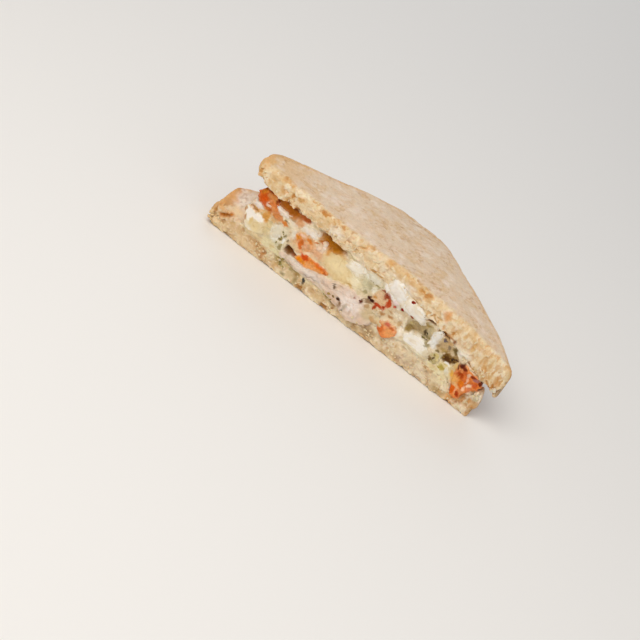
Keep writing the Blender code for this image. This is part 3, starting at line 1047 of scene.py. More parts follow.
@dataclass(frozen=True)
class Lozenge:
    """Rounded shape on the cut plane between x0 and x1, its lowest and highest z given at
    even steps across it."""
    x0: float
    x1: float
    lows: tuple[float, ...]
    highs: tuple[float, ...]

    def at(self, ring: Array, angle: Array) -> tuple[Array, Array]:
        """Points of the shape: x runs as -ring * cos(angle), and z is the middle height plus
        half the thickness times ring * sin(angle) to the power that makes it boxy.

        Args:
            ring: 0 in the middle, 1 on the outline.
            angle: way round the outline.

        Returns:
            x and z.
        """
        u = 0.5 - 0.5 * ring * np.cos(angle)
        low, high = through(self.lows, u), through(self.highs, u)
        lift = ring * boxed(angle, BOXINESS)
        return self.x0 + (self.x1 - self.x0) * u, 0.5 * (low + high) + 0.5 * (high - low) * lift

    def cover(self, x: Array, z: Array) -> Array:
        """1 inside the shape, falling to 0 just outside it.

        Args:
            x, z: places on the cut plane.

        Returns:
            Share at each place.
        """
        u = (x - self.x0) / (self.x1 - self.x0)
        low, high = through(self.lows, u), through(self.highs, u)
        up = (2.0 * z - low - high) / (high - low)
        return ease(1.3, 0.8, (2.0 * u - 1.0) ** 4 + up**4)


def carried(x: Array, y: Array, z: Array) -> Array:
    """Carry points of the cut plane back to depth y: the height keeps its share of the gap
    between the slices, and the whole filling sways a little sideways as sin(y / 18).

    Args:
        x, z: places on the cut plane.
        y: depth behind it.

    Returns:
        Points, last axis 3.
    """
    low, high = FLOOR_TOP_CUT.at(x) + CLEARANCE, LID_UNDER_CUT.at(x) - CLEARANCE
    share = (z - low) / (high - low)
    back = np.maximum(y, 0.0)
    side = x + SWAY * np.sin(back / 18.0) * (1 - (x / 90.0) ** 2)
    low, high = floor_top(side, back) + CLEARANCE, lid_under(side, back) - CLEARANCE
    return np.stack([side, y, np.where(y > 0, low + share * (high - low), z)], axis=-1)


@dataclass(frozen=True)
class Patch:
    """A patch of colour on a piece's cut face: where its middle is, how far it reaches along
    x and z, and how strong it is."""
    x: float
    z: float
    wide: float
    high: float
    colour: str
    strength: float = 0.85

    def far(self, x: Array, z: Array, grow: tuple[float, float] = (1.0, 1.0)) -> Array:
        """Squared distance from the middle, 1 on the oval outline.

        Args:
            x, z: places on the cut plane.
            grow: factors on the reach along x and z.

        Returns:
            Squared distance at each place.
        """
        across, up = grow[0] * self.wide, grow[1] * self.high
        return ((x - self.x) / across) ** 2 + ((z - self.z) / up) ** 2


# The cut's colours where the knife met tomato skin, pulp, cream, herbs and brown juices, with painted shade
# under the lid and in the pockets and painted highlights on the wet tomato: x, z, reach along x and z,
# colour, and strength where it isn't the usual one. Later rows go on top.
PAINT: tuple[Patch, ...] = tuple(Patch(*row) for row in (
    # broad grounds of colour
    (-62, 31.5, 5, 4, "#D9823E", 0.7), (-57.5, 18, 6.5, 6, "#E3CA98", 0.7),
    (-47.5, 17.5, 5.5, 7, "#E6DAB8", 0.7), (-35, 23, 7, 5.5, "#EAB888", 0.75),
    (-25, 25, 4.5, 5, "#EEC49C", 0.7), (-12, 25, 9.5, 6, "#E9CF9A", 0.7), (5, 28, 6, 5.5, "#DCD0A6", 0.7),
    (14, 24.5, 5, 4, "#E9C69C", 0.7), (25, 21, 7, 6, "#E6CDA6", 0.8), (39.5, 25.5, 6.5, 5, "#BEA878", 0.85),
    (54.6, 25.6, 4.6, 4.4, "#CFB284", 0.85), (59.8, 21, 4.2, 3, "#A07C32", 0.85),
    (52.4, 16.8, 2.8, 2.8, "#D6C594", 0.8), (60.6, 15, 4.6, 3, "#E8D49C", 0.85),
    (72, 17, 6.5, 6, "#E8742C", 0.6), (13, 15, 5, 3.6, "#DCC49A", 0.85),
    # gaping tip: tomato, a scrap of ham with yellow fat, egg; the maroon band just under the lid is painted
    # shade on the tomato, and the orange-brown line under the ham scrap is painted shade in a crevice
    (-63.5, 31.5, 3.2, 3, "#EE6200", 0.9), (-64.9, 35.8, 1.3, 2, "#DC8A20"),
    (-61.2, 36.4, 2.8, 1.2, "#96380A"), (-59.4, 34.4, 3.2, 1.1, "#E09A54"),
    (-62, 28.9, 2.2, 1.1, "#E47440"), (-58.7, 30.2, 2.6, 2.2, "#EEC8B4", 0.9),
    (-58.9, 30.2, 1.3, 1.1, "#C4440E", 0.95), (-55.2, 29.2, 2.6, 1, "#DE7438"),
    (-53.6, 28, 2.2, 0.9, "#E49A58"), (-64.8, 26.2, 3.2, 1.6, "#F2E2D6", 0.9),
    (-57.4, 26.8, 1.5, 1.5, "#DC7620"), (-57.8, 23.2, 2.3, 2.9, "#E8A440", 0.9),
    (-55.8, 22.8, 1, 1.6, "#F0D8AC"), (-64.4, 23.6, 4.2, 0.7, "#D89C48", 0.9),
    (-52, 27, 3.2, 1.5, "#E0883A", 0.8), (-52.6, 24, 2.4, 1.6, "#E2AC68", 0.7),
    (-69.3, 20.6, 0.8, 2.4, "#C48C4A", 0.85), (-67.6, 16.8, 0.8, 2.2, "#C88E4C", 0.85),
    (-66.4, 20.8, 2.6, 2.4, "#FBF6EC", 0.95), (-61.4, 20.6, 3.4, 1.7, "#FAF3E6", 0.95),
    (-65.2, 17.6, 1.1, 2.2, "#F8F1E4"), (-63.6, 16.8, 1, 2, "#E2C27C", 0.9),
    (-60.8, 14.8, 4.2, 2.9, "#E9D29A", 0.85), (-54.4, 18.6, 2.2, 4.4, "#E4CE9A", 0.7),
    (-49.6, 18.4, 3.2, 4.6, "#EEEADC", 0.85), (-50.6, 12.2, 4.4, 1.8, "#E6D6A6", 0.75),
    (-46, 17.8, 1.1, 1.3, "#8A7420", 0.9), (-44.4, 20.4, 0.8, 1.3, "#948850"),
    (-42.3, 19.2, 0.6, 0.8, "#7A6434"), (-44, 17.2, 0.7, 2.4, "#F2ECE0"),
    (-44.2, 13.4, 1, 2.2, "#A8985A", 0.85), (-47.2, 28, 1.1, 0.7, "#7C7444"),
    (-47.5, 26.4, 1.7, 1.2, "#EE8A10", 0.9), (-41, 24.4, 1.6, 2.8, "#EFE6D4", 0.8),
    # under the lid: pink cream, and brown juice with painted shade in the pockets, darkest just under the lid
    (-51, 31, 5.4, 1, "#EBD6C0"), (-40.4, 31.2, 2.8, 2.2, "#E8A468", 0.8),
    (-39.6, 35.2, 3.2, 1.3, "#B8602C"), (-33.2, 31.2, 3.8, 2, "#F1E6DA"),
    (-47.4, 33.6, 4.8, 1.3, "#B0640E", 0.95), (-20.4, 31.8, 3.4, 1.5, "#B87418", 0.9),
    (-56.2, 35.4, 1.3, 2, "#A0420A", 0.9), (-46, 36.6, 2, 1, "#A04C16"),
    (-45.2, 31, 2.2, 1.1, "#C2905A", 0.75), (-42, 33, 1.6, 0.8, "#E8A878"),
    # tomato chunk and its skin, ham scrap
    (-38.2, 25.4, 1.7, 1.2, "#F0941C", 0.9), (-35.6, 23.6, 1.9, 2.6, "#E87414", 0.9),
    (-32.2, 26.8, 1.9, 1.1, "#F28A1E", 0.85), (-34.4, 21, 1.2, 1.2, "#F07C2C", 0.9),
    (-36, 27.4, 1.9, 1, "#EFCAB4"), (-32.2, 23.4, 1.6, 1.2, "#EFB48C"), (-37.4, 19, 3.2, 1.6, "#ECD0A6"),
    (-31, 15.2, 2.9, 1.5, "#FF9A00", 0.95), (-29.8, 18.2, 2.3, 1.5, "#F05800", 0.95),
    (-21.4, 18.8, 5.4, 0.9, "#F47A20", 0.9), (-23, 16.2, 5.6, 1.1, "#F6B272", 0.8),
    (-16.4, 17.6, 1.8, 1.1, "#E4701C"), (-23.9, 29.4, 0.9, 2.2, "#F4DFCB", 0.9),
    (-25.2, 26.4, 2.2, 1.5, "#F0D2B8"), (-26.8, 30, 1.6, 0.7, "#D6742C"),
    (-28.6, 28.4, 1.4, 0.6, "#DC8440"), (-20.8, 28.4, 1.4, 2.2, "#E4A04A"),
    (-24.6, 23.2, 3.8, 1.9, "#ECB488", 0.8),
    # cheese, cream, grey-green soft cheese
    (-12.6, 24.6, 6.4, 4.4, "#F2DCAC", 0.85), (-16.4, 31.4, 5.2, 1.1, "#D09A4C", 0.8),
    (-4.4, 30.4, 4, 2.8, "#F8EEDE", 0.9), (-2.2, 20.7, 2.2, 0.7, "#D2A23C", 0.9),
    (-1.6, 24, 3.6, 3.2, "#F3E5C2", 0.8), (4.8, 31.8, 4.4, 1.7, "#EFE9DC", 0.85),
    (8.6, 30.4, 3.4, 0.5, "#AA9660", 0.85), (6.6, 27.4, 1.8, 2.2, "#C4B892", 0.7),
    (5.8, 22.8, 1.2, 1.2, "#B0A470", 0.8), (10.6, 34.6, 2.4, 0.6, "#A88A50", 0.85),
    (9.4, 26.8, 1.2, 2.6, "#F2E8D2", 0.8),
    # the ham slice and its specks
    (3, 13, 7.4, 5.6, "#F2E4DA", 0.85), (-9.3, 16.2, 0.5, 1.1, "#8A8272"),
    (-8.3, 14.9, 0.8, 1, "#76582E", 0.9), (-3.6, 11.2, 0.9, 0.9, "#4A2410", 0.95),
    (-2.3, 8.9, 1.2, 1.9, "#90661E", 0.9), (1, 9.4, 1.1, 2, "#C4B49C", 0.85),
    (0.4, 6.8, 0.9, 0.9, "#70685C", 0.85), (4.9, 8.6, 0.5, 2, "#D2B49A", 0.8),
    (9.6, 9.4, 0.6, 2.2, "#D8BEA8", 0.7), (3, 17.8, 0.7, 0.7, "#B27458"),
    (6.6, 18, 0.8, 1.4, "#7C4028", 0.9), (-26, 11.8, 12, 1.7, "#F0E2D6", 0.7),
    (-14, 12.6, 4, 1, "#DCC2AC", 0.7), (13.4, 13.8, 3.6, 2.6, "#DAC49C", 0.95),
    (10.2, 16.6, 1.6, 1, "#C09A68", 0.8), (9.6, 19.2, 2.2, 1.2, "#A07A52", 0.8),
    (15.6, 16.4, 2.4, 1, "#E8D8B8", 0.8),
    # tomato in the middle: deep red block, skin arc, peach pulp
    (17.2, 28.9, 2.5, 2.5, "#BC4A26", 0.95), (14.2, 30.2, 1.4, 0.6, "#B05628", 0.9),
    (19.3, 25.4, 1.1, 2.4, "#E65414", 0.95), (18.2, 22.2, 1.1, 1.2, "#DE4E12", 0.95),
    (15.4, 20.7, 2.9, 0.8, "#DC4A10", 0.95), (14, 18.6, 0.95, 1.9, "#CE4408", 0.95),
    (9.4, 21.6, 1.1, 1.2, "#5A120C", 0.95), (11, 20.9, 1.9, 0.7, "#48100E", 0.95),
    (13.2, 24.8, 2.4, 2.4, "#ECC89E", 0.8), (11.2, 23.6, 1, 0.9, "#E2A04E", 0.85),
    # white sauce over the edge, with red pepper
    (19.4, 34, 5.4, 3.6, "#F6F0E8", 0.9), (22.8, 29.2, 1.9, 2, "#F1DAD4", 0.85),
    (22.6, 26.2, 0.8, 0.8, "#E47460", 0.9), (20.9, 27.6, 1, 1.3, "#F4D4C6", 0.85),
    (29.6, 35.4, 1.3, 0.9, "#A03420", 0.9), (27.8, 33.6, 0.9, 0.6, "#CE6C40", 0.9),
    (27, 27.8, 0.8, 0.7, "#A23418", 0.9), (33.2, 28.5, 1.4, 0.6, "#AA5018", 0.9),
    (33, 31.6, 4.6, 2.6, "#F5EFE2", 0.85), (41.4, 32.4, 3, 0.6, "#96602A", 0.9),
    # picked meat and the low tomato
    (26.4, 23, 3.6, 2.2, "#F0E2C8", 0.8), (19, 18.8, 1.6, 1, "#CE9A60", 0.85),
    (23.4, 19.6, 1.8, 0.7, "#C89258", 0.85), (29.4, 20.6, 1.2, 1.8, "#D4AE7A", 0.8),
    (22, 22.4, 1.8, 0.6, "#D2A470", 0.8), (25, 27.2, 1.4, 1.1, "#F2E6D4", 0.8),
    (31, 22.6, 1.2, 3, "#F0E2C4", 0.8), (26.6, 25, 2.2, 0.6, "#E6CBA2", 0.7),
    (24.8, 16.6, 1.5, 1.2, "#F07A60", 0.9), (22.4, 12.4, 1.9, 2.6, "#F07A38", 0.85),
    (27.6, 16.2, 1.8, 0.9, "#F07A34", 0.85), (27.4, 12.8, 2.3, 2.6, "#F8AE6A", 0.85),
    # pickles, egg, herb cheese
    (35.2, 21.8, 2.5, 2.4, "#967A2C", 0.9), (34.6, 24.8, 1.5, 0.8, "#D0BC80", 0.85),
    (42.6, 24.8, 0.9, 1.6, "#5A4A20", 0.9), (44.2, 21.6, 1.5, 0.7, "#5A5228", 0.9),
    (41.6, 28.9, 3, 0.8, "#AC9048", 0.85), (42.2, 30.8, 1.4, 0.8, "#D8CDB0", 0.85),
    (38.8, 24.4, 2.6, 1.3, "#BCA476", 0.8), (44.6, 27, 1.5, 2.2, "#CDBE98", 0.85),
    (44.8, 23.6, 1.2, 1.2, "#9A9068", 0.8), (39.9, 18.9, 5.4, 3.1, "#F8EEDC", 0.95),
    (32, 17.4, 1.3, 3.6, "#F4E8D2", 0.85), (34.3, 20.9, 1.7, 1.5, "#AE9454", 0.95),
    (46.2, 20.6, 2, 1.7, "#B0A278", 0.95), (39.6, 17.4, 3.2, 1, "#E9DAC0", 0.6),
    (40.4, 13.8, 5.6, 0.7, "#E6D4AC", 0.85), (48.4, 15.8, 2, 2.4, "#E2D2B0", 0.9),
    (50.6, 14, 0.7, 2, "#9A7440", 0.85), (48.4, 25.4, 2, 4.4, "#F1EBE2", 0.85),
    (49.6, 29.4, 1, 0.7, "#D2BE9C", 0.8), (53, 28.2, 1, 1.1, "#80736C", 0.95),
    (56.6, 26.2, 0.9, 1.5, "#94866E", 0.85), (56.2, 28.2, 1.2, 0.9, "#D6AE78", 0.8),
    (51.2, 23.6, 0.9, 0.9, "#B09468", 0.8), (54.6, 22.8, 2, 1.1, "#C2A662", 0.8),
    (59.2, 23.6, 1.1, 1, "#DCC6A4", 0.8), (60.4, 26.2, 1.9, 2, "#84703A", 0.95),
    (53, 17.8, 1.7, 1.2, "#E0CC82", 0.85), (52.4, 20.8, 0.6, 0.9, "#8E7C48", 0.85),
    (52, 15.8, 0.7, 0.8, "#6E5634", 0.85), (55, 19.2, 0.9, 1.8, "#DCD2B0", 0.8),
    (58.8, 19.9, 3.4, 1.9, "#70480A", 0.95), (61.2, 21.4, 1.2, 0.9, "#4E3410", 0.95),
    (63.2, 22.6, 1.2, 0.8, "#5C240A", 0.95), (60.2, 17.5, 1.9, 0.7, "#F6EFE2", 0.9),
    (58.6, 14.8, 2.2, 1.7, "#C4AE46", 0.9), (62.2, 13.6, 1.2, 2.8, "#F0E4C4", 0.8),
    (64.8, 15.4, 1.2, 1.9, "#F2B43C", 0.9), (64.4, 20, 1.1, 1.8, "#E4C078", 0.85),
    (63, 26.6, 1.7, 1.3, "#F0E6D2", 0.85),
    # tomato at the closed tip; its pale pink streaks are painted highlights on the wet flesh
    (67.4, 14.6, 2.3, 2.6, "#F4B866", 0.9), (67.3, 23.4, 2.1, 1.8, "#701C06", 0.95),
    (66, 20.9, 0.8, 0.9, "#5E1A0C", 0.9), (69.4, 22.9, 1.3, 1.3, "#96300C", 0.9),
    (68.6, 18.8, 2.1, 1.9, "#CC5004", 0.95), (70.6, 21.2, 1.3, 1.2, "#DE6E38", 0.85),
    (72.6, 21.6, 0.9, 1.6, "#F0C6A6", 0.9), (73.1, 18, 0.7, 2.2, "#F2BE9C", 0.9),
    (74.8, 22.2, 1.7, 1, "#A0340E", 0.9), (76.9, 21.2, 1.3, 1, "#C08488", 0.9),
    (79.4, 20.8, 1.2, 1.2, "#84260C", 0.9), (76.8, 18.4, 1.8, 1.4, "#F07038", 0.9),
    (71.4, 15.2, 1.9, 1.7, "#FA8A14", 0.9), (75.4, 16.4, 1.1, 1.5, "#FCD8B8", 0.9),
    (73.8, 13.4, 1, 1.7, "#FCD2AC", 0.9), (76.2, 14.4, 0.9, 1.5, "#F09060", 0.9),
    (69.6, 12.2, 2.7, 1, "#F8C488", 0.9), (68.8, 8.8, 1.6, 2.6, "#F87414", 0.95),
    (70.7, 10, 0.6, 1.7, "#F8B488", 0.9), (72.5, 8.6, 1.2, 1.9, "#CC4404", 0.95),
    (75.3, 9.2, 1.2, 2.2, "#B46222", 0.9),
))


def painted(tone: Array, points: Array) -> Array:
    """Add the patches of PAINT to colours near the cut. A patch falls off as exp(-distance^n), n = 6 for
    small ones and 3 for broad ones, its edge wanders with cloudy noise, and all fade behind the cut, where
    the food is a little warmer. Thin brown lines of painted shade, as in the creases between pieces, run
    where slow noise crosses zero. Moist food is deeper than its dry tone: each is scaled by (light /
    MIDDLE_LIGHT)^CONTRAST, and none is whiter than egg white.

    Args:
        tone: linear colours.
        points: their places.

    Returns:
        Painted colours.
    """
    flat = points * np.array([1.0, 0.3, 1.0])
    drift_x = 0.7 * cloud(flat, 3.0, 901) + 0.3 * cloud(flat, 1.1, 903)
    drift_z = 0.7 * cloud(flat, 3.0, 905) + 0.3 * cloud(flat, 1.1, 907)
    grain = 1.0 + 0.5 * cloud(flat, 0.9, 909)
    shown = ease(*PAINT_DEPTH, points[..., 1])
    tone = mix(tone, tone * BEHIND_TINT, 1.0 - shown)
    for patch in PAINT:
        far = patch.far(points[..., 0] + drift_x, points[..., 2] + drift_z) * grain
        power = SHARP_POWER - (SHARP_POWER - SOFT_POWER) * ease(*BROAD_FROM, patch.wide)
        tone = mix(tone, linear(patch.colour), patch.strength * shown * np.exp(-far**power))
    # painted shade: thin brown lines as in the creases between pieces
    vein = ease(0.11, 0.0, np.abs(cloud(flat, 3.4, 915, 2))) * ease(-0.3, 0.4, cloud(flat, 6.0, 917))
    tone = mix(tone, tone * VEIN_TINT, 0.45 * vein)
    light = np.maximum(tone @ EYE, 0.001)[..., None]
    return np.minimum(MOIST * tone * (light / MIDDLE_LIGHT) ** CONTRAST, linear(WHITEST))


def shuffled(points: Array) -> Array:
    """Push points about along X and Z by cloudy noise, the same for every piece, so that
    their shared borders wander while the pieces still fit together.

    Args:
        points: places.

    Returns:
        Moved places.
    """
    flat = points * np.array([1.0, 0.35, 1.0])
    moved = points.copy()
    moved[..., 0] += 1.2 * cloud(flat, 4.6, 801) + 0.45 * cloud(flat, 1.6, 811)
    moved[..., 2] += 1.0 * cloud(flat, 4.6, 805) + 0.45 * cloud(flat, 1.6, 815)
    return moved


@dataclass
class Filling:
    """One piece of filling, a rounded lozenge on the cut that runs back to the crust."""
    name: str
    slot: str
    finish: Finish
    relief: Relief
    body: Lozenge
    front: float
    reach: float
    tone: str
    second: str
    lobe: Lozenge | None = None
    blend: float = 0.5
    taper: float = 0.0
    lean: tuple[float, float] | None = None
    seed: int = 0
    around: int = 120
    cap_rings: int = 34
    grid: Array = field(default=None, init=False)

    def rings(self) -> tuple[Array, Array]:
        """Rings from the middle of the front face over its rounded edge, back through the
        food and over the far end.

        Returns:
            Points, shape (rows, around, 3), and how near each row is to the outline, 0 to 1.
        """
        angle = np.linspace(0.0, 2 * math.pi, self.around, endpoint=False)
        cap = np.linspace(0.03, 1.0, self.cap_rings) ** 0.8
        found = self.lobe_rings(angle, cap) if self.lobe else self.body_rings(angle, cap)
        start = BODY_FRONT + self.taper if self.lobe else self.front + BODY_EDGE
        for share in np.linspace(0.0, 1.0, LONG_RINGS)[1:] ** LONG_SPACING:
            end = 1.0 - 0.35 * ease(0.88, 1.0, share)
            x, z = self.body.at((1 - THINNING * share) * SWELL * end, angle)
            limit = np.minimum(LOWER.far(x), UPPER.far(x)) - REACH_MARGIN
            found.append((carried(x, start + share * (limit * self.reach - start), z), 1.0))
        last = found[-1][0]
        middle = last.mean(axis=0)
        for share in (0.8, 0.55, 0.3, 0.1):
            found.append((middle + (last - middle) * share, 1.0))
        rows, rims = zip(*found)
        return np.array(rows), np.array(rims)[:, None]

    def body_rings(self, angle: Array, cap: Array) -> list[tuple[Array, float]]:
        """Rings of the front face where the piece has no lobe, each with its own size."""
        found = []
        for ring in cap:
            x, z = self.body.at(ring * SWELL, angle)
            found.append((carried(x, self.front + self.edge(ring, BODY_EDGE) + 0 * x, z), ring))
        return found

    def lobe_rings(self, angle: Array, cap: Array) -> list[tuple[Array, float]]:
        """Rings of the lobe that stands out at the cut, then of its side, and of the step
        in to the body's outline, each with how near it is to the outline."""
        found = []
        for ring in cap:
            x, z = self.lobe.at(ring, angle)
            fall = self.edge(ring, LOBE_EDGE) + self.taper * ring**3
            found.append((np.stack([x, LOBE_FRONT + fall + self.back_off(x), z], axis=-1), ring))
        x, z = self.lobe.at(1.0, angle)
        rim_y = LOBE_FRONT + LOBE_EDGE + self.taper
        step_y = max(LOBE_BACK, rim_y)
        for share in (0.5, 1.0):
            y = rim_y + (step_y - rim_y) * share
            found.append((np.stack([x, y + self.back_off(x), z], axis=-1), LOBE_RIM))
        bx, bz = self.body.at(SWELL, angle)
        for share in (0.33, 0.67):
            y = step_y + (BODY_FRONT + self.taper - step_y) * share
            row = np.stack([x + (bx - x) * share, y + 0 * x, z + (bz - z) * share], axis=-1)
            found.append((row, LOBE_RIM))
        return found

    def back_off(self, x: Array) -> Array:
        """How far the lobe's front stays back at x: LEAN_DEPTH beyond the second x of lean."""
        return LEAN_DEPTH * ease(*self.lean, x) if self.lean else 0.0 * x

    def edge(self, ring: float, drop: float) -> float:
        """How far the front face falls back at a ring: flat, then a round edge."""
        return drop * (1.0 - half_chord(1.0, max(0.0, (ring - FLAT_PART) / ROUND_PART)))

    def tones(self, grid: Array, rim: Array) -> Array:
        """Colours: two tones mixed by cloudy noise, cream smeared over the outline and in
        streaks, then the patches of the cut.

        Args:
            grid: points.
            rim: how near each row is to the outline.

        Returns:
            Linear colours.
        """
        haze = cloud(grid, 3.0, self.seed + 41)
        tone = mix(linear(self.tone), linear(self.second), ease(-0.5, 0.6, haze))
        smear = cloud(grid * np.array([1.0, 0.3, 1.0]), 3.4, 951)
        share = ease(0.7, 1.05, rim + 0.22 * smear) * ease(-0.6, 0.4, smear)
        share = np.maximum(share, 0.6 * ease(0.35, 0.75, smear))
        tone = mix(tone, linear(CREAM), self.blend * share)
        return painted(tone, grid)

    def build(self) -> bpy.types.Object:
        """Make the piece, which stands for its CAD node.

        Returns:
            The piece's object.
        """
        grid, rim = self.rings()
        middle = grid.mean(axis=1, keepdims=True)
        normal = grid_normals(grid)
        outward = np.sign(np.einsum("ijk,ijk->", normal[40:60], (grid - middle)[40:60]))
        ends = np.minimum(np.arange(len(grid)), len(grid) - 1 - np.arange(len(grid)))
        lift = self.relief.height(grid, self.seed) * ease(-1.0, 3.0, ends)[:, None]
        grid = shuffled(grid) + normal * (outward * lift)[..., None]
        grid[..., 2] = np.maximum(grid[..., 2], 0.3)
        self.grid = inside_box(grid)
        piece = tube_object(self.name + "_food", self.grid, self.tones(self.grid, rim))
        return hand_over(piece, self.finish, self.name)


@dataclass
class SauceFilm:
    """Thin sauce between the pieces: a sheet from slice to slice that fills the narrow gaps between their
    fronts, with open pockets where the filling leaves room, coloured as brown juice with painted shade,
    darkest towards their top under the lid."""
    name: str = "sauce_film"
    start: float = -65.5
    end: float = 79.5
    columns: int = 400
    rows: int = 84
    front: float = 0.95
    thickness: float = 2.4
    overlap: float = 0.5
    end_dip: float = 2.0
    foremost: float = -1.4
    second: str = "#DCC8A0"
    deepest: str = "#6E2A04"
    halo: tuple[float, float] = (1.15, 1.25)
    pockets: tuple[Patch, ...] = (
        Patch(-49.6, 34.4, 7.6, 2.7, "#BC6C08", 2.6), Patch(-40.0, 35.4, 3.4, 1.3, "#C4682C", 1.4),
        Patch(-21.2, 33.4, 7.4, 3.4, "#B8740C", 2.8), Patch(-39.6, 15.3, 2.6, 1.9, "#7C4A12", 2.4),
        Patch(-36.0, 15.2, 2.2, 1.0, "#9A5C34", 1.4),
        Patch(41.5, 32.4, 3.4, 1.0, "#9A6026", 2.0), Patch(53.0, 30.6, 5.0, 1.0, "#98580F", 2.0))
    grid: Array = field(default=None, init=False)

    def build(self, pieces: list[Filling]) -> bpy.types.Object:
        """Make the film: one loop in (y, z) at each step along X, up the front and down the back. The front
        follows the pieces' fronts, hollows closed, moved by cloudy noise and pushed back by the pockets; its
        colours are those of the pieces under it, and in the pockets brown juice with painted shade that
        darkens towards their top.

        Args:
            pieces: the finished pieces of filling.

        Returns:
            The film's object.
        """
        fronts = FrontField([piece.grid.reshape(-1, 3) for piece in pieces], closing=2)
        x = np.linspace(self.start, self.end, self.columns)[:, None]
        up = np.linspace(0.0, 1.0, self.rows)[None, :]
        low, high = floor_top(x, 0 * x) - self.overlap, lid_under(x, 0 * x) + self.overlap
        z = low + (high - low) * up
        place = np.stack([x + 0 * z, 0 * z, z], axis=-1)
        ridge = 1.0 - 1.5 * np.abs(cloud(place, 3.6, 965))
        y = self.front + 0.5 * cloud(place, 2.6, 951) - 0.35 * ridge + 0.2 * cloud(place, 1.1, 961)
        y = np.minimum(y, fronts.at(place[..., 0], z) + 0.3 + 0.3 * cloud(place, 2.2, 957))
        for pocket in self.pockets:
            far = pocket.far(place[..., 0], z) * (1 + 0.5 * cloud(place, 2.2, 971))
            y = y + pocket.strength * np.exp(-far**3)
        tip = ease(0.0, 3.0, np.minimum(x - self.start, self.end - x))
        y = np.maximum(y, self.foremost) + self.end_dip * (1.0 - tip)
        front = np.stack([place[..., 0], y, z], axis=-1)
        back = front[:, ::-1] + np.array([0.0, self.thickness, 0.0])
        self.grid = inside_box(np.concatenate([front, back], axis=1))
        haze = cloud(self.grid, 3.0, 981)
        tone = mix(linear(CREAM), linear(self.second), ease(-0.3, 0.7, haze))
        for piece in pieces:
            for shape in filter(None, (piece.body, piece.lobe)):
                cover = shape.cover(self.grid[..., 0], self.grid[..., 2])
                tone = mix(tone, linear(piece.tone), 0.75 * cover * ease(0.6, -0.2, haze))
        tone = painted(tone, self.grid)
        # painted shade: each pocket turns brown as juice in shade, darker towards its top under the lid
        for pocket in self.pockets:
            far = pocket.far(self.grid[..., 0], self.grid[..., 2], self.halo)
            up = (self.grid[..., 2] - pocket.z) / pocket.high
            brown = mix(linear(pocket.colour), linear(self.deepest), 0.7 * ease(0.2, 1.0, haze + up))
            tone = mix(tone, brown, np.exp(-far**3))
        piece = tube_object(self.name, self.grid, tone)
        return hand_over(piece, SOAKED_SAUCE)


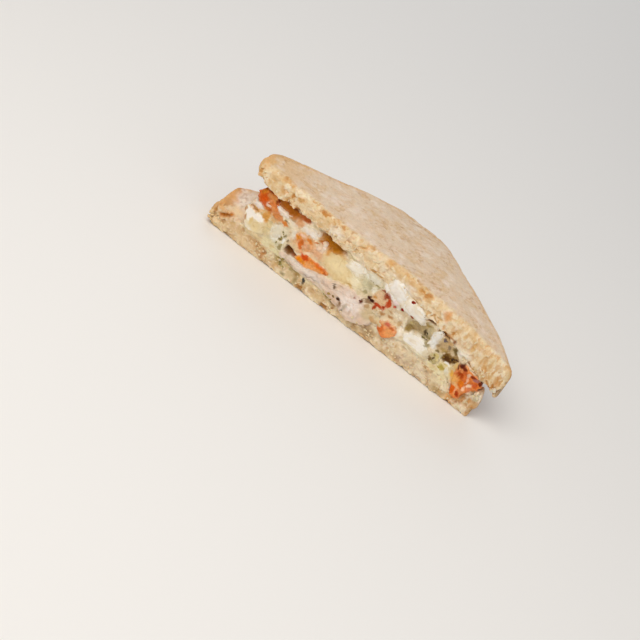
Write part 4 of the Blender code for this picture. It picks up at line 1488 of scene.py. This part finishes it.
def fillings() -> list[Filling]:
    """All pieces of filling, from the gaping tip to the closed one.

    Returns:
        The pieces, each with its own seed.
    """
    tomato = ("tomato", TOMATO_FLESH, Relief.FLESHY)
    ham = ("ham", COOKED_HAM, Relief.FIBROUS)
    egg = ("egg_white", BOILED_EGG_WHITE, Relief.SMOOTH)
    sauce = ("sauce", MAYONNAISE, Relief.SMOOTH)
    pickle = ("pickle", PICKLED_CUCUMBER, Relief.WRINKLED)
    cream = ("herb_cream", HERB_CREAM, Relief.LUMPY)
    pieces = [
        Filling("tomato_left", *tomato,
                Lozenge(-66.8, -54.6, (28.6, 27.0, 27.0, 28.6), (34.6, 37.0, 36.0, 33.4)), 0.4, 0.92,
                "#DC5A10", "#EC8A34", blend=0.3),
        Filling("ham_scrap_left", *ham,
                Lozenge(-68.4, -48.8, (24.2, 23.6, 21.6, 22.6, 25.6), (27.4, 27.4, 27.2, 28.3, 28.4)),
                0.4, 0.96, "#E9CBA6", "#E8B878"),
        Filling("egg_wedge_left", *egg,
                Lozenge(-70.2, -55.8, (19.0, 14.6, 11.7, 11.5, 12.0), (23.6, 23.9, 22.9, 20.5, 17.0)),
                -1.2, 0.97, "#F1E8DA", "#E8D8B4"),
        Filling("herb_cream_left", *cream,
                Lozenge(-55.3, -41.4, (11.0, 10.2, 9.9, 9.8, 14.0), (16.6, 20.0, 24.2, 27.6, 28.0)),
                1.0, 0.95, "#E8DCBE", "#DACBA0", blend=0.7),
        Filling("sauce_left", *sauce,
                Lozenge(-56.8, -29.6, (29.4, 29.0, 28.5, 29.6, 30.2), (32.8, 31.2, 31.4, 33.8, 35.2)),
                1.0, 0.98, "#EBDCC6", "#E6CDAE"),
        Filling("tomato_mid_upper", *tomato,
                Lozenge(-40.6, -27.3, (18.4, 17.6, 17.5, 20.9, 22.2), (27.0, 28.9, 29.3, 29.6, 27.0)),
                0.3, 0.93, "#F0BC88", "#EEA262", blend=0.4),
        Filling("tomato_mid_lower", *tomato,
                Lozenge(-34.7, -15.4, (14.0, 13.4, 14.3, 15.7, 16.8), (15.8, 19.7, 19.6, 19.0, 18.7)),
                -0.8, 0.96, "#FA9838", "#F8B06A", blend=0.15),
        Filling("ham_scrap_mid", *ham,
                Lozenge(-26.9, -22.3, (22.2, 20.8, 21.0), (30.8, 31.2, 29.6)), 0.8, 0.9,
                "#EACBAE", "#E6B88E"),
        Filling("ham_slice", *ham,
                Lozenge(-42.0, 10.6, (9.6, 9.0, 8.9, 9.1, 11.8), (13.0, 12.6, 15.7, 19.6, 18.0)),
                0.5, 0.99, "#EAD2BE", "#E4C4A8",
                lobe=Lozenge(-38.0, 15.8, (10.4, 9.8, 9.9, 10.4, 9.4, 7.4, 3.8, 4.0, 7.0),
                             (12.6, 13.0, 14.0, 15.4, 17.2, 19.4, 20.4, 17.6, 12.4)),
                blend=0.2, taper=0.3, lean=(-6.0, -20.0)),
        Filling("cheese_slice", "cheese", YOUNG_CHEESE, Relief.SMOOTH,
                Lozenge(-21.8, 2.6, (19.4, 18.2, 17.6, 20.0, 21.3), (27.6, 31.0, 30.2, 26.2, 26.2)),
                0.0, 0.97, "#EACF9A", "#E0C088", blend=0.4),
        Filling("sauce_mid", *sauce,
                Lozenge(-8.8, 1.3, (29.8, 27.1, 27.2), (33.4, 33.7, 33.4)), 0.0, 0.94,
                "#F1E6D2", "#E6D2A8", blend=0.8),
        Filling("soft_cheese", "soft_cheese", HERB_CREAM, Relief.LUMPY,
                Lozenge(1.7, 12.7, (26.8, 21.8, 26.2, 30.8), (33.4, 33.5, 33.4, 33.2)), 0.2, 0.98,
                "#DAD0B0", "#C9BF96"),
        Filling("tomato_centre", *tomato,
                Lozenge(8.4, 19.8, (20.9, 19.5, 17.4, 20.3, 22.5), (22.8, 27.2, 30.7, 30.7, 28.0)),
                0.4, 0.95, "#E8C49C", "#E4B488", blend=0.3),
        Filling("sauce_spill", *sauce,
                Lozenge(13.4, 25.0, (31.8, 31.6, 28.7, 28.4), (33.3, 33.3, 33.3, 33.1)), 0.0, 0.9,
                "#F4EEE5", "#EEE4D8",
                lobe=Lozenge(13.2, 27.2, (31.0, 30.0, 28.0, 28.6), (35.5, 39.0, 39.0, 34.6)), taper=0.8),
        Filling("sauce_right", *sauce,
                Lozenge(25.5, 39.2, (28.1, 28.3, 27.8, 28.6), (32.8, 32.7, 32.5, 32.2)), 0.0, 0.96,
                "#F3EDE2", "#EBE0CC",
                lobe=Lozenge(25.6, 39.6, (28.4, 28.2, 27.6, 28.2), (34.6, 35.6, 35.0, 32.0)), taper=0.7),
        Filling("meat_shreds", "meat_shreds", PICKED_MEAT, Relief.SHREDDED,
                Lozenge(11.3, 32.3, (13.4, 13.6, 18.2, 18.4, 17.6), (15.6, 17.8, 26.4, 27.5, 26.6)),
                0.6, 0.97, "#E4CCA8", "#DABB92"),
        Filling("tomato_low", *tomato,
                Lozenge(20.8, 30.5, (13.5, 13.6, 13.9), (16.6, 17.6, 16.6)), 0.0, 0.93,
                "#FC9450", "#FAA868", lobe=Lozenge(20.2, 30.5, (10.0, 8.9, 12.0), (15.0, 17.7, 16.6)),
                blend=0.1),
        Filling("pickle_slice", *pickle,
                Lozenge(32.9, 45.7, (19.2, 22.4, 22.7, 21.6), (25.6, 26.2, 30.9, 30.0)), 0.8, 0.94,
                "#B8A270", "#CDBB8C"),
        Filling("egg_white_mound", *egg,
                Lozenge(34.0, 49.6, (14.4, 13.7, 13.5, 13.4), (18.4, 21.4, 21.0, 17.8)), -1.0, 0.97,
                "#F8F2E6", "#F0E6D0", blend=0.15),
        Filling("egg_white_upright", *egg,
                Lozenge(46.4, 50.9, (21.2, 20.4, 19.6), (29.8, 30.3, 29.6)), -0.2, 0.92,
                "#F0EAE0", "#E8DFCE", blend=0.2),
        Filling("herb_cheese", "herb_cheese", HERB_CREAM, Relief.LUMPY,
                Lozenge(51.5, 59.4, (19.9, 20.9, 23.2, 26.0), (29.7, 29.4, 28.3, 27.0)), 0.6, 0.95,
                "#CDAF80", "#C2A068", blend=0.35),
        Filling("pickle_small", *pickle,
                Lozenge(50.2, 54.9, (13.2, 12.7, 12.6), (17.6, 19.0, 19.2)), 0.3, 0.9, "#D6C89C", "#BDAA6C"),
        Filling("pickle_dark", *pickle,
                Lozenge(55.6, 64.2, (17.9, 17.9, 19.4, 21.6), (20.9, 23.6, 26.0, 23.4)), 1.2, 0.96,
                "#A07C30", "#B0904A", blend=0.15),
        Filling("egg_yolk_right", "egg_yolk", BOILED_YOLK, Relief.LUMPY,
                Lozenge(55.4, 66.4, (12.6, 11.6, 11.5, 12.4), (17.0, 17.0, 18.6, 16.6)), 0.4, 0.93,
                "#E8D8A6", "#EADCBA"),
        Filling("tomato_right", *tomato,
                Lozenge(65.2, 80.0, (19.2, 13.4, 12.7, 16.8), (22.6, 22.8, 21.9, 20.4)), 0.0, 0.95,
                "#F88430", "#F8A860",
                lobe=Lozenge(64.8, 80.2, (18.0, 6.5, 5.8, 13.5, 17.5), (24.2, 25.0, 23.0, 22.6, 20.8)),
                blend=0.2),
    ]
    for number, piece in enumerate(pieces):
        piece.seed = 100 + 50 * number
    return pieces


# ---------------------------------------------------------------- flecks and crumbs


@dataclass(frozen=True)
class Spray:
    """Small bits strewn over an oval on the cut face."""
    x: float
    z: float
    wide: float
    high: float
    count: int
    size: float
    colours: tuple[str, ...]


class FrontField:
    """How far forward the sandwich comes at each place on the cut."""
    step: float = 0.7
    nothing: float = 9.0

    def __init__(self, surfaces: list[Array], closing: int = 0) -> None:
        """Bin the front points of all surfaces: the least y in each square cell of the cut
        plane; empty cells take their neighbours' least, narrow hollows are closed by taking
        the least and then the most of the cells around, and the whole is smoothed once.

        Args:
            surfaces: points of the finished pieces.
            closing: half the width of the hollows to close, in cells.
        """
        points = np.concatenate(surfaces)
        points = points[points[:, 1] < self.nothing]
        self.low = points[:, [0, 2]].min(axis=0) - self.step
        size = np.ceil((points[:, [0, 2]].max(axis=0) - self.low) / self.step).astype(int) + 3
        self.field = np.full(size, self.nothing)
        cell = ((points[:, [0, 2]] - self.low) / self.step).astype(int)
        np.minimum.at(self.field, (cell[:, 0], cell[:, 1]), points[:, 1])
        for _ in range(3):
            self.field = np.where(self.field > self.nothing - 0.1, self.around(np.min), self.field)
        for pick in closing * (np.min,) + closing * (np.max,) + (np.mean,):
            self.field = self.around(pick)

    def around(self, pick: Callable) -> Array:
        """What pick finds in each cell and its eight neighbours."""
        return pick([np.roll(self.field, (i, j), (0, 1)) for i in (-1, 0, 1) for j in (-1, 0, 1)], axis=0)

    def at(self, x: Array, z: Array) -> Array:
        """Least y at places on the cut, blended between cells."""
        u = np.clip((x - self.low[0]) / self.step - 0.5, 0.0, self.field.shape[0] - 2.001)
        v = np.clip((z - self.low[1]) / self.step - 0.5, 0.0, self.field.shape[1] - 2.001)
        i, j = u.astype(int), v.astype(int)
        f, g = u - i, v - j
        top = self.field[i, j] * (1 - f) + self.field[i + 1, j] * f
        return top * (1 - g) + (self.field[i, j + 1] * (1 - f) + self.field[i + 1, j + 1] * f) * g


@dataclass
class Smear:
    """Thin sauce or pressed crumb smeared over the cut: a lens with a ragged rim that follows
    what it is on and sinks into it at its edge."""
    name: str
    x: float
    z: float
    wide: float
    high: float
    tilt: float
    thick: float
    tone: str
    second: str
    seed: int
    slot: str = "sauce"
    finish: Finish = MAYONNAISE
    edge: str = "#E9D6B4"
    sink: float = 0.4
    around: int = 140
    steps: int = 26

    def build(self, field_of_front: FrontField) -> bpy.types.Object:
        """Make the smear: rings out over the front and back in behind; its thickness falls
        as the root of 1 - ring^2, and noise makes the rim and the front uneven.

        Args:
            field_of_front: what it lies on.

        Returns:
            The smear's object.
        """
        angle = np.linspace(0.0, 2 * math.pi, self.around, endpoint=False)[None, :]
        ring = np.linspace(0.02, 1.0, self.steps)[:, None]
        way = np.stack([np.cos(angle), np.sin(angle), 0 * angle], axis=-1)
        rim = 1.0 + 0.4 * cloud(way, 0.8, self.seed) + 0.16 * cloud(way, 0.22, self.seed + 3)
        u, v = self.wide * rim * ring * np.cos(angle), self.high * rim * ring * np.sin(angle)
        c, s = math.cos(math.radians(self.tilt)), math.sin(math.radians(self.tilt))
        x, z = self.x + c * u - s * v, self.z + s * u + c * v
        place = np.stack([x, 0 * x, z], axis=-1)
        lump = 0.9 + 0.3 * cloud(place, 2.6, self.seed + 5) + 0.1 * cloud(place, 1.0, self.seed + 6)
        ground_y = field_of_front.at(x, z)
        dome = half_chord(1.0, ring) * np.maximum(lump, 0.1)
        front = ground_y + self.sink - (self.thick + self.sink) * dome
        outer = np.stack([x, front, z], axis=-1)
        inner = np.stack([x, ground_y + self.sink + 0.35, z], axis=-1)[::-1]
        grid = inside_box(np.concatenate([outer, inner]))
        haze = cloud(grid, 3.0, self.seed + 9)
        tone = mix(linear(self.tone), linear(self.second), ease(-0.4, 0.6, haze))
        shown = haze[:self.steps]
        thin = np.concatenate([ease(0.62, 0.95, ring + 0.15 * shown), np.ones(shown.shape)])
        tone = mix(tone, linear(self.edge), 0.75 * thin)
        piece = tube_object(self.name, grid, tone)
        return hand_over(piece, self.finish)


def smears() -> tuple[Smear, ...]:
    """Sauce over the pieces and the edge of the upper slice, crumb along the lower one's.

    Returns:
        The smears, not yet built.
    """
    crumb = ("bread", WHEAT_CRUMB)
    return (
        Smear("smear_spill", 20.2, 35.0, 7.4, 4.8, -14.0, 0.5, "#F4EDE3", "#EFE4D6", 31),
        Smear("smear_right", 32.4, 32.0, 7.6, 3.3, -14.0, 0.45, "#F3EBDE", "#ECDFCA", 32),
        Smear("smear_drop", 38.4, 29.2, 2.0, 2.6, 10.0, 0.4, "#F4EEE2", "#EEE4D2", 33),
        Smear("smear_left", -51.3, 31.0, 5.8, 1.1, -10.0, 0.35, "#F2E4D8", "#EBD6C2", 34),
        Smear("smear_scrap", -64.8, 26.1, 3.2, 1.5, 5.0, 0.4, "#F3E6DC", "#EBD8C8", 35),
        Smear("smear_middle", -3.6, 30.6, 6.2, 3.0, 18.0, 0.3, "#F4EAD8", "#EDDFC4", 36),
        Smear("smear_soft", 7.0, 32.2, 5.4, 2.2, -6.0, 0.2, "#E6DECA", "#D6CCB0", 37),
        Smear("smear_mid_left", -34.0, 31.0, 5.2, 2.0, 8.0, 0.35, "#F1E6DA", "#EAD8C4", 38),
        Smear("smear_cream", -49.0, 19.6, 3.6, 4.4, 20.0, 0.35, "#ECE5D6", "#E3D8BE", 39),
        Smear("smear_closed", 61.6, 14.0, 1.6, 3.0, 12.0, 0.35, "#F0E8D2", "#E8DAB6", 40),
        Smear("smear_upright", 48.4, 25.4, 2.1, 5.2, -6.0, 0.4, "#F3EEE6", "#E9E1D4", 41),
        Smear("juice_left", -57.4, 30.8, 3.8, 2.2, -20.0, 0.3, "#DA7E40", "#E09A5C", 47, "tomato",
              TOMATO_FLESH, "#DE9A62"),
        Smear("swirl_left", -59.2, 29.7, 1.5, 1.0, 10.0, 0.35, "#F0D2BE", "#EBC0A4", 48),
        Smear("crumb_under_egg", -60.0, 10.6, 8.6, 1.9, -3.0, 0.3, "#E2CDA2", "#DABE90", 42, *crumb),
        Smear("crumb_under_cream", -47.0, 10.0, 7.6, 1.8, 2.0, 0.3, "#E2D4AC", "#D4BE8A", 43, *crumb),
        Smear("crumb_under_meat", 17.4, 13.2, 5.6, 2.0, 6.0, 0.3, "#E0CAA2", "#CBA678", 44, *crumb),
        Smear("crumb_under_mound", 42.0, 13.0, 8.8, 1.6, -2.0, 0.3, "#EFE2C6", "#E6D2AA", 45, *crumb),
        Smear("crumb_under_yolk", 57.6, 11.4, 8.0, 1.9, -3.0, 0.3, "#F0E2BC", "#E4D09E", 46, *crumb))


@dataclass
class Flecks:
    """Tiny lens-shaped bits, all of one kind joined into one piece. Each is a small disc of
    rings, flattened and turned at random, that sits on the nearest surface behind it."""
    name: str
    slot: str
    finish: Finish
    sprays: tuple[Spray, ...]
    thickness: float
    seed: int
    sides: int = 7

    def build(self, field_of_front: FrontField) -> bpy.types.Object:
        """Make the bits.

        Args:
            field_of_front: what they lie on.

        Returns:
            The joined object.
        """
        chance = np.random.default_rng(self.seed)
        spots, sizes, tones = [], [], []
        for spray in self.sprays:
            turn = chance.uniform(0, 2 * math.pi, spray.count)
            away = np.sqrt(chance.uniform(0, 1, spray.count))
            spots.append(np.stack([spray.x + spray.wide * away * np.cos(turn),
                                   spray.z + spray.high * away * np.sin(turn)], axis=-1))
            sizes.append(spray.size * chance.uniform(0.5, 1.3, spray.count))
            palette = np.array([linear(code) for code in spray.colours])
            tones.append(palette[chance.integers(0, len(palette), spray.count)])
        spot, size, tone = np.concatenate(spots), np.concatenate(sizes), np.concatenate(tones)
        y = field_of_front.at(spot[:, 0], spot[:, 1])

        angle = np.linspace(0, 2 * math.pi, self.sides, endpoint=False)
        ring = np.array([0.55, 1.0, 0.55])[:, None]
        lift = np.array([-1.0, 0.0, 1.0])[:, None]
        unit = np.stack([ring * np.cos(angle), lift + 0 * angle, ring * np.sin(angle)], axis=-1)
        count = len(spot)
        wobble = 1.0 + 0.35 * chance.uniform(-1, 1, (count, 3, self.sides, 1))
        long = chance.uniform(0.45, 1.0, count)
        scale = np.stack([0.5 * size, np.full(count, 0.5 * self.thickness), 0.5 * size * long], axis=-1)
        body = unit[None] * wobble * scale[:, None, None, :]
        spin = chance.uniform(0, math.pi, count)
        tip = chance.uniform(-0.6, 0.6, count)
        body = turned(body, 1, spin)
        body = turned(body, 0, tip)
        body = body + np.stack([spot[:, 0], y - 0.25 * self.thickness, spot[:, 1]], axis=-1)[:, None, None, :]
        body[..., 2] = np.maximum(body[..., 2], 0.05)
        corners, sides = tube_faces(3, self.sides)
        each = 3 * self.sides + 2
        points = np.concatenate([body.reshape(count, -1, 3), body[:, 0].mean(axis=1)[:, None],
                                 body[:, 2].mean(axis=1)[:, None]], axis=1)
        all_corners = (corners[None] + (np.arange(count) * each)[:, None]).reshape(-1)
        piece = make_mesh(self.name, inside_box(points.reshape(-1, 3)), all_corners, np.tile(sides, count),
                          np.repeat(tone, each, axis=0))
        return hand_over(piece, self.finish)


def turned(body: Array, axis: int, angle: Array) -> Array:
    """Turn each bit about one axis: the two other coordinates mix by sine and cosine.

    Args:
        body: points, shape (count, rows, around, 3).
        axis: 0, 1 or 2 for X, Y or Z.
        angle: turn of each bit, in radians.

    Returns:
        Turned points.
    """
    a, b = [n for n in range(3) if n != axis]
    c, s = np.cos(angle)[:, None, None], np.sin(angle)[:, None, None]
    out = body.copy()
    out[..., a] = c * body[..., a] - s * body[..., b]
    out[..., b] = s * body[..., a] + c * body[..., b]
    return out


# ---------------------------------------------------------------- room


@dataclass
class Studio:
    """Pale floor, soft light from above and in front of the cut, and the camera."""
    azimuth: float = 12.17
    elevation: float = 31.59
    roll: float = 30.80
    distance: float = 750.0
    aim: tuple[float, float, float] = (-13.66, -11.10, -25.20)
    lens: float = 78.4
    sensor: float = 36.0
    floor_size: float = 14.0
    floor_colour: str = "#F1EFEC"
    floor_roughness: float = 0.7
    sky: tuple[float, float, float] = (0.95, 0.97, 1.0)
    sky_strength: float = 0.36

    def add_camera(self) -> None:
        """The camera looks at aim from the given angles and leans by roll."""
        a, e, r = (math.radians(v) for v in (self.azimuth, self.elevation, self.roll))
        back = Vector((math.sin(a) * math.cos(e), -math.cos(a) * math.cos(e), math.sin(e)))
        right = Vector((math.cos(a), math.sin(a), 0.0))
        up = back.cross(right)
        across = math.cos(r) * right + math.sin(r) * up
        upward = -math.sin(r) * right + math.cos(r) * up
        data = bpy.data.cameras.new("camera")
        data.lens = self.lens
        data.sensor_width = self.sensor
        camera = bpy.data.objects.new("camera", data)
        turn = Matrix((across, upward, back)).transposed().to_4x4()
        camera.matrix_world = Matrix.Translation((Vector(self.aim) + self.distance * back) * MM) @ turn
        bpy.context.scene.collection.objects.link(camera)
        bpy.context.scene.camera = camera

    def add_light(self, name: str, way: tuple[float, float, float], far: float, size: float,
                  power: float, colour: str) -> None:
        """Hang a square soft light in a direction from the food, facing it.

        Args:
            name: of the light.
            way: direction from the food to the light.
            far: distance in metres.
            size: side of the light in metres.
            power: in watts.
            colour: sRGB hex.
        """
        data = bpy.data.lights.new(name, "AREA")
        data.size = size
        data.energy = power
        data.color = linear(colour)
        light = bpy.data.objects.new(name, data)
        direction = Vector(way).normalized()
        light.location = direction * far
        light.rotation_euler = direction.to_track_quat("Z", "Y").to_euler()
        bpy.context.scene.collection.objects.link(light)

    def add_floor(self) -> None:
        """A pale, slightly rough floor just under the food."""
        half = 0.5 * self.floor_size
        mesh = bpy.data.meshes.new("floor")
        mesh.from_pydata([(-half, -half, 0), (half, -half, 0), (half, half, 0), (-half, half, 0)],
                         [], [(0, 1, 2, 3)])
        floor = bpy.data.objects.new("floor", mesh)
        bpy.context.scene.collection.objects.link(floor)
        made = bpy.data.materials.new("painted_floor")
        made.use_nodes = True
        shader = made.node_tree.nodes["Principled BSDF"]
        shader.inputs["Base Color"].default_value = (*linear(self.floor_colour), 1.0)
        shader.inputs["Roughness"].default_value = self.floor_roughness
        mesh.materials.append(made)

    def build(self) -> None:
        """Set up the room."""
        self.add_camera()
        self.add_floor()
        self.add_light("key", (-0.20, -0.54, 0.83), 1.1, 0.8, 7.5, "#FFF8EF")
        self.add_light("fill", (0.9, -0.5, 0.5), 1.3, 1.2, 2.15, "#FFFFFF")
        self.add_light("back", (-0.4, 0.9, 0.7), 1.3, 1.0, 2.6, "#FFFFFF")
        world = bpy.data.worlds.new("room")
        bpy.context.scene.world = world
        world.use_nodes = True
        shade = world.node_tree.nodes["Background"]
        shade.inputs["Color"].default_value = (*self.sky, 1.0)
        shade.inputs["Strength"].default_value = self.sky_strength
        bpy.context.scene.view_settings.view_transform = "Standard"


def slices() -> tuple[BreadSlice, BreadSlice]:
    """The lower and the upper slice.

    Returns:
        Both slices, not yet built.
    """
    lower = BreadSlice(
        "bread_lower", LOWER, ground, floor_top, 10, 42, 0.8, 0.7, seed=11,
        # cell and pore tones: painted shade in the open crumb
        crumb_colour="#EDD9B3", shade_colour="#D0A970", wall_colour="#F4E7CC", cell_colour="#C08A48",
        pore_colour="#A06A30",
        blotch=0.75, torn_below=9.0, right_flap=(78.0, 80.5, 3.2), right_swell=(-0.3, 2.2),
        stains=(Stain((-77.6, 16.0, 13.5), (5.8, 9.0, 6.0), "#F6EEE4", 0.95),
                Stain((-70.0, 8.0, 13.0), (4.0, 12.0, 5.0), "#F0DCC2", 0.7),
                Stain((-83.6, 8.0, 13.0), (4.8, 10.0, 9.0), "#DCA058", 0.85),
                Stain((-79.5, 3.0, 8.0), (2.6, 6.0, 3.0), "#D89A54", 0.5),
                Stain((-75.4, 4.0, 13.8), (4.0, 6.0, 2.8), "#F4DCB4", 0.9),
                Stain((-82.0, 1.0, 4.6), (3.2, 5.0, 3.4), "#F4DCB2", 0.85),
                *on_cut((-60, 4.5, 13, 4.5, "#D9B486", 0.45), (-70, 3, 9, 3.5, "#E9D2AA", 0.5),
                        (-50.6, 4, 1.1, 1.6, "#C08040", 0.8), (-46, 7, 3.6, 2.6, "#EBDDBC", 0.85),
                        (-39, 7.6, 2.4, 1.5, "#B8A468", 0.75), (-36, 2.4, 1.8, 1.2, "#8C763A", 0.7),
                        (-42, 9, 1.8, 1, "#968648", 0.7), (-31.5, 8, 3.4, 1.6, "#967E42", 0.75),
                        (-28.6, 3.8, 1.6, 3.2, "#8A7036", 0.75), (-32, 4, 2.6, 2.2, "#D6BE90", 0.8),
                        (-24.4, 6.4, 0.8, 1.8, "#45403A", 0.9), (-21, 8, 2.4, 1.4, "#E8D8B0", 0.8),
                        (-18, 5, 1.3, 1.6, "#BC8E54", 0.7), (-13.6, 3.8, 3.6, 2, "#D6B888", 0.8),
                        (-10.6, 8.4, 1, 1.3, "#745A34", 0.8), (-6, 7, 3.2, 2, "#B08A50", 0.75),
                        # (9.4, 2.6) and (17, 5.8): darker brown-grey patches low on the cut
                        (2, 3.4, 4, 1.8, "#D4B47C", 0.6), (9.4, 2.6, 3.6, 2.2, "#BA9A6C", 0.65),
                        (30, 2.6, 5.6, 2.2, "#CDAC7C", 0.6), (33, 11, 2.6, 2.2, "#F4E6C8", 0.85),
                        (17, 5.8, 4.8, 3.4, "#A8845A", 0.8), (30.5, 4.6, 0.9, 0.9, "#CC8A40", 0.8),
                        (36, 7, 3.4, 1.4, "#D8B47C", 0.6), (46, 4.5, 17, 4.6, "#E8DCC4", 0.6),
                        (40, 10.6, 7, 2.4, "#F0E2C4", 0.7), (62, 8.6, 5.6, 3.4, "#F2E4BE", 0.8),
                        (63, 2.4, 3.6, 2, "#B4955E", 0.75), (71, 3.5, 3.5, 3.5, "#E2A050", 0.8),
                        (75.6, 8, 1.8, 3.6, "#C07E38", 0.8), (77.6, 3, 4, 1.9, "#EFE0C4", 0.85)),
                Stain((81.0, 0.0, 13.8), (4.4, 5.0, 3.4), "#F3E7D2", 0.9),
                *on_cut((79.2, 8.2, 1, 2.2, "#C88A3E", 0.8), (82, 6.6, 0.9, 2, "#CE9448", 0.7))),
        # grooves: torn creases darkened with painted shade
        grooves=(Groove((-80.0, 8.4), (-74.4, 11.8), 1.0, 1.0, "#C0762E"),
                 Groove((-83.5, 12.5), (-80.0, 16.5), 0.8, 0.5, "#D0904C")))
    upper = BreadSlice(
        "bread_upper", UPPER, lid_under, lid_outer, 14, 110, 0.7, 3.2, seed=12, tip_round=0.5,
        left_lift=1.3, right_flap=(83.0, 86.0, -1.8), tip_bulge=2.4, bulge_power=0.4,
        tip_zone=(56.0, 73.0),
        stains=(Stain((-73.0, 4.0, 44.0), (3.4, 7.0, 8.0), "#E2B478", 0.8),
                *on_cut((9, 44, 2.6, 3.2, "#DDA45C", 0.75), (20.5, 46, 2.2, 2.2, "#DFAC66", 0.7),
                        (47.5, 39.5, 2.2, 1.8, "#E29C5C", 0.7), (-46, 43.5, 2, 1.4, "#D9A055", 0.7),
                        # (64, 27.6): a pale patch over the lid's lower edge, painted light that lifts the
                        # shade under the lid
                        (-56.5, 41.5, 1.6, 1.6, "#D49A50", 0.7), (64, 27.6, 6, 3.4, "#F7EEDC", 0.85),
                        (-14, 43, 7, 3.4, "#F1DFBE", 0.6), (2, 42, 5, 3, "#F1DFBE", 0.5),
                        (22, 37.6, 7, 2.6, "#F4EADB", 0.9), (-8, 35.4, 6, 1.7, "#F6E8CE", 0.75),
                        (-21, 39.4, 4.4, 2.6, "#F6ECDC", 0.8), (9, 39, 3.6, 2, "#F2E3C8", 0.75),
                        (53.6, 31.3, 3.8, 0.6, "#A86A30", 0.85), (57.3, 30.6, 0.8, 1.3, "#8A4C18", 0.9),
                        (60.6, 37.6, 0.8, 2.6, "#D6A258", 0.6), (66.6, 34, 0.7, 2.8, "#D6A258", 0.65),
                        (73.4, 31, 0.7, 3.2, "#D09A50", 0.65), (78.2, 33.4, 0.6, 2.4, "#D6A258", 0.6),
                        (81.2, 27.6, 0.7, 3, "#D09A50", 0.65), (85.4, 26, 1.4, 3.4, "#D0924A", 0.7))))
    return lower, upper


def flecks() -> tuple[Flecks, ...]:
    """Herbs, pepper, chilli and bread crumbs on the cut face.

    Returns:
        The kinds of bit, not yet built.
    """
    herbs = Flecks("herb_flecks", "herb_cream", DRIED_HERB,
                   (Spray(-38.0, 6.5, 6.0, 3.0, 6, 1.7, ("#A08E4C", "#8F8044", "#B3A060")),
                    Spray(-46.0, 18.0, 2.8, 4.2, 6, 1.8, ("#988A48", "#A99A58")),
                    Spray(-7.0, 8.0, 5.0, 3.0, 6, 1.6, ("#94783E", "#867040", "#AC9050")),
                    Spray(43.6, 22.8, 3.0, 1.4, 4, 1.5, ("#7C7040", "#6C6038", "#8C8048")),
                    Spray(52.0, 16.6, 1.4, 2.2, 3, 1.4, ("#9A8648", "#846C38")),
                    Spray(59.0, 21.0, 3.2, 1.8, 4, 1.6, ("#7C5A20", "#6A4818", "#8C6A24"))), 0.4, 5)
    pepper = Flecks("pepper_flecks", "herb_cheese", DRIED_HERB,
                    (Spray(-24.4, 6.6, 0.4, 1.2, 2, 1.9, ("#4A4844", "#5C5854")),
                     Spray(-8.6, 15.4, 0.6, 1.0, 2, 0.9, ("#8A7A66", "#74644E")),
                     Spray(-4.0, 11.0, 0.5, 0.5, 2, 1.8, ("#44281A", "#583822")),
                     Spray(43.0, 24.2, 1.2, 1.4, 2, 1.3, ("#5C5438", "#524C30")),
                     Spray(53.2, 27.6, 0.8, 0.8, 2, 1.6, ("#77686A", "#5E5458")),
                     Spray(6.4, 17.8, 0.4, 1.0, 2, 1.5, ("#6A3426",))), 0.4, 6)
    chilli = Flecks("chilli_flecks", "tomato", TOMATO_FLESH,
                    (Spray(29.4, 35.3, 0.9, 0.5, 3, 1.9, ("#A83A28", "#8E2E1E")),
                     Spray(26.9, 28.2, 0.5, 0.4, 2, 1.5, ("#9E2A1E",)),
                     Spray(33.2, 28.5, 0.6, 0.3, 2, 1.4, ("#9A4020",)),
                     Spray(22.6, 26.3, 0.4, 0.5, 2, 1.4, ("#DB6A58",))), 0.6, 7)
    crumbs = Flecks("bread_crumbs", "bread", WHEAT_CRUMB,
                    (Spray(-22.0, 4.5, 62.0, 4.5, 50, 1.4, ("#EAD6B2", "#E0C498")),
                     Spray(48.0, 5.5, 34.0, 5.5, 36, 1.4, ("#EAD6B2", "#E0C498")),
                     Spray(-20.0, 38.5, 50.0, 1.4, 30, 1.4, ("#EEDCBA", "#E2C8A0")),
                     Spray(72.0, 25.4, 9.0, 1.6, 12, 1.4, ("#EEDCBA", "#E2C8A0"))), 0.7, 8)
    torn = Flecks("torn_crumb", "bread", WHEAT_CRUMB,
                  (Spray(81.0, 13.4, 1.6, 1.8, 6, 2.8, ("#F0DDBC", "#E8CFA4")),
                   Spray(85.4, 22.6, 1.2, 1.2, 5, 2.4, ("#F2E4CC", "#EAD6B4")),
                   Spray(-84.0, 5.0, 1.6, 2.6, 4, 3.2, ("#E8C898", "#DDB47C"))), 2.4, 9, sides=11)
    return herbs, pepper, chilli, crumbs, torn


def main() -> None:
    """Build the room, the bread, the filling and the additions on the cut; each piece logs its number of
    faces.
    """
    logging.basicConfig(level=logging.INFO, format="%(name)s: %(message)s")
    Studio().build()
    film, pieces = SauceFilm(), fillings()
    parts = [*slices(), *pieces, film]
    for part in parts[:-1]:
        part.build()
    film.build(pieces)
    field_of_front = FrontField([part.grid.reshape(-1, 3) for part in parts])
    for addition in (*smears(), *flecks()):
        addition.build(field_of_front)


if __name__ == "__main__":
    main()
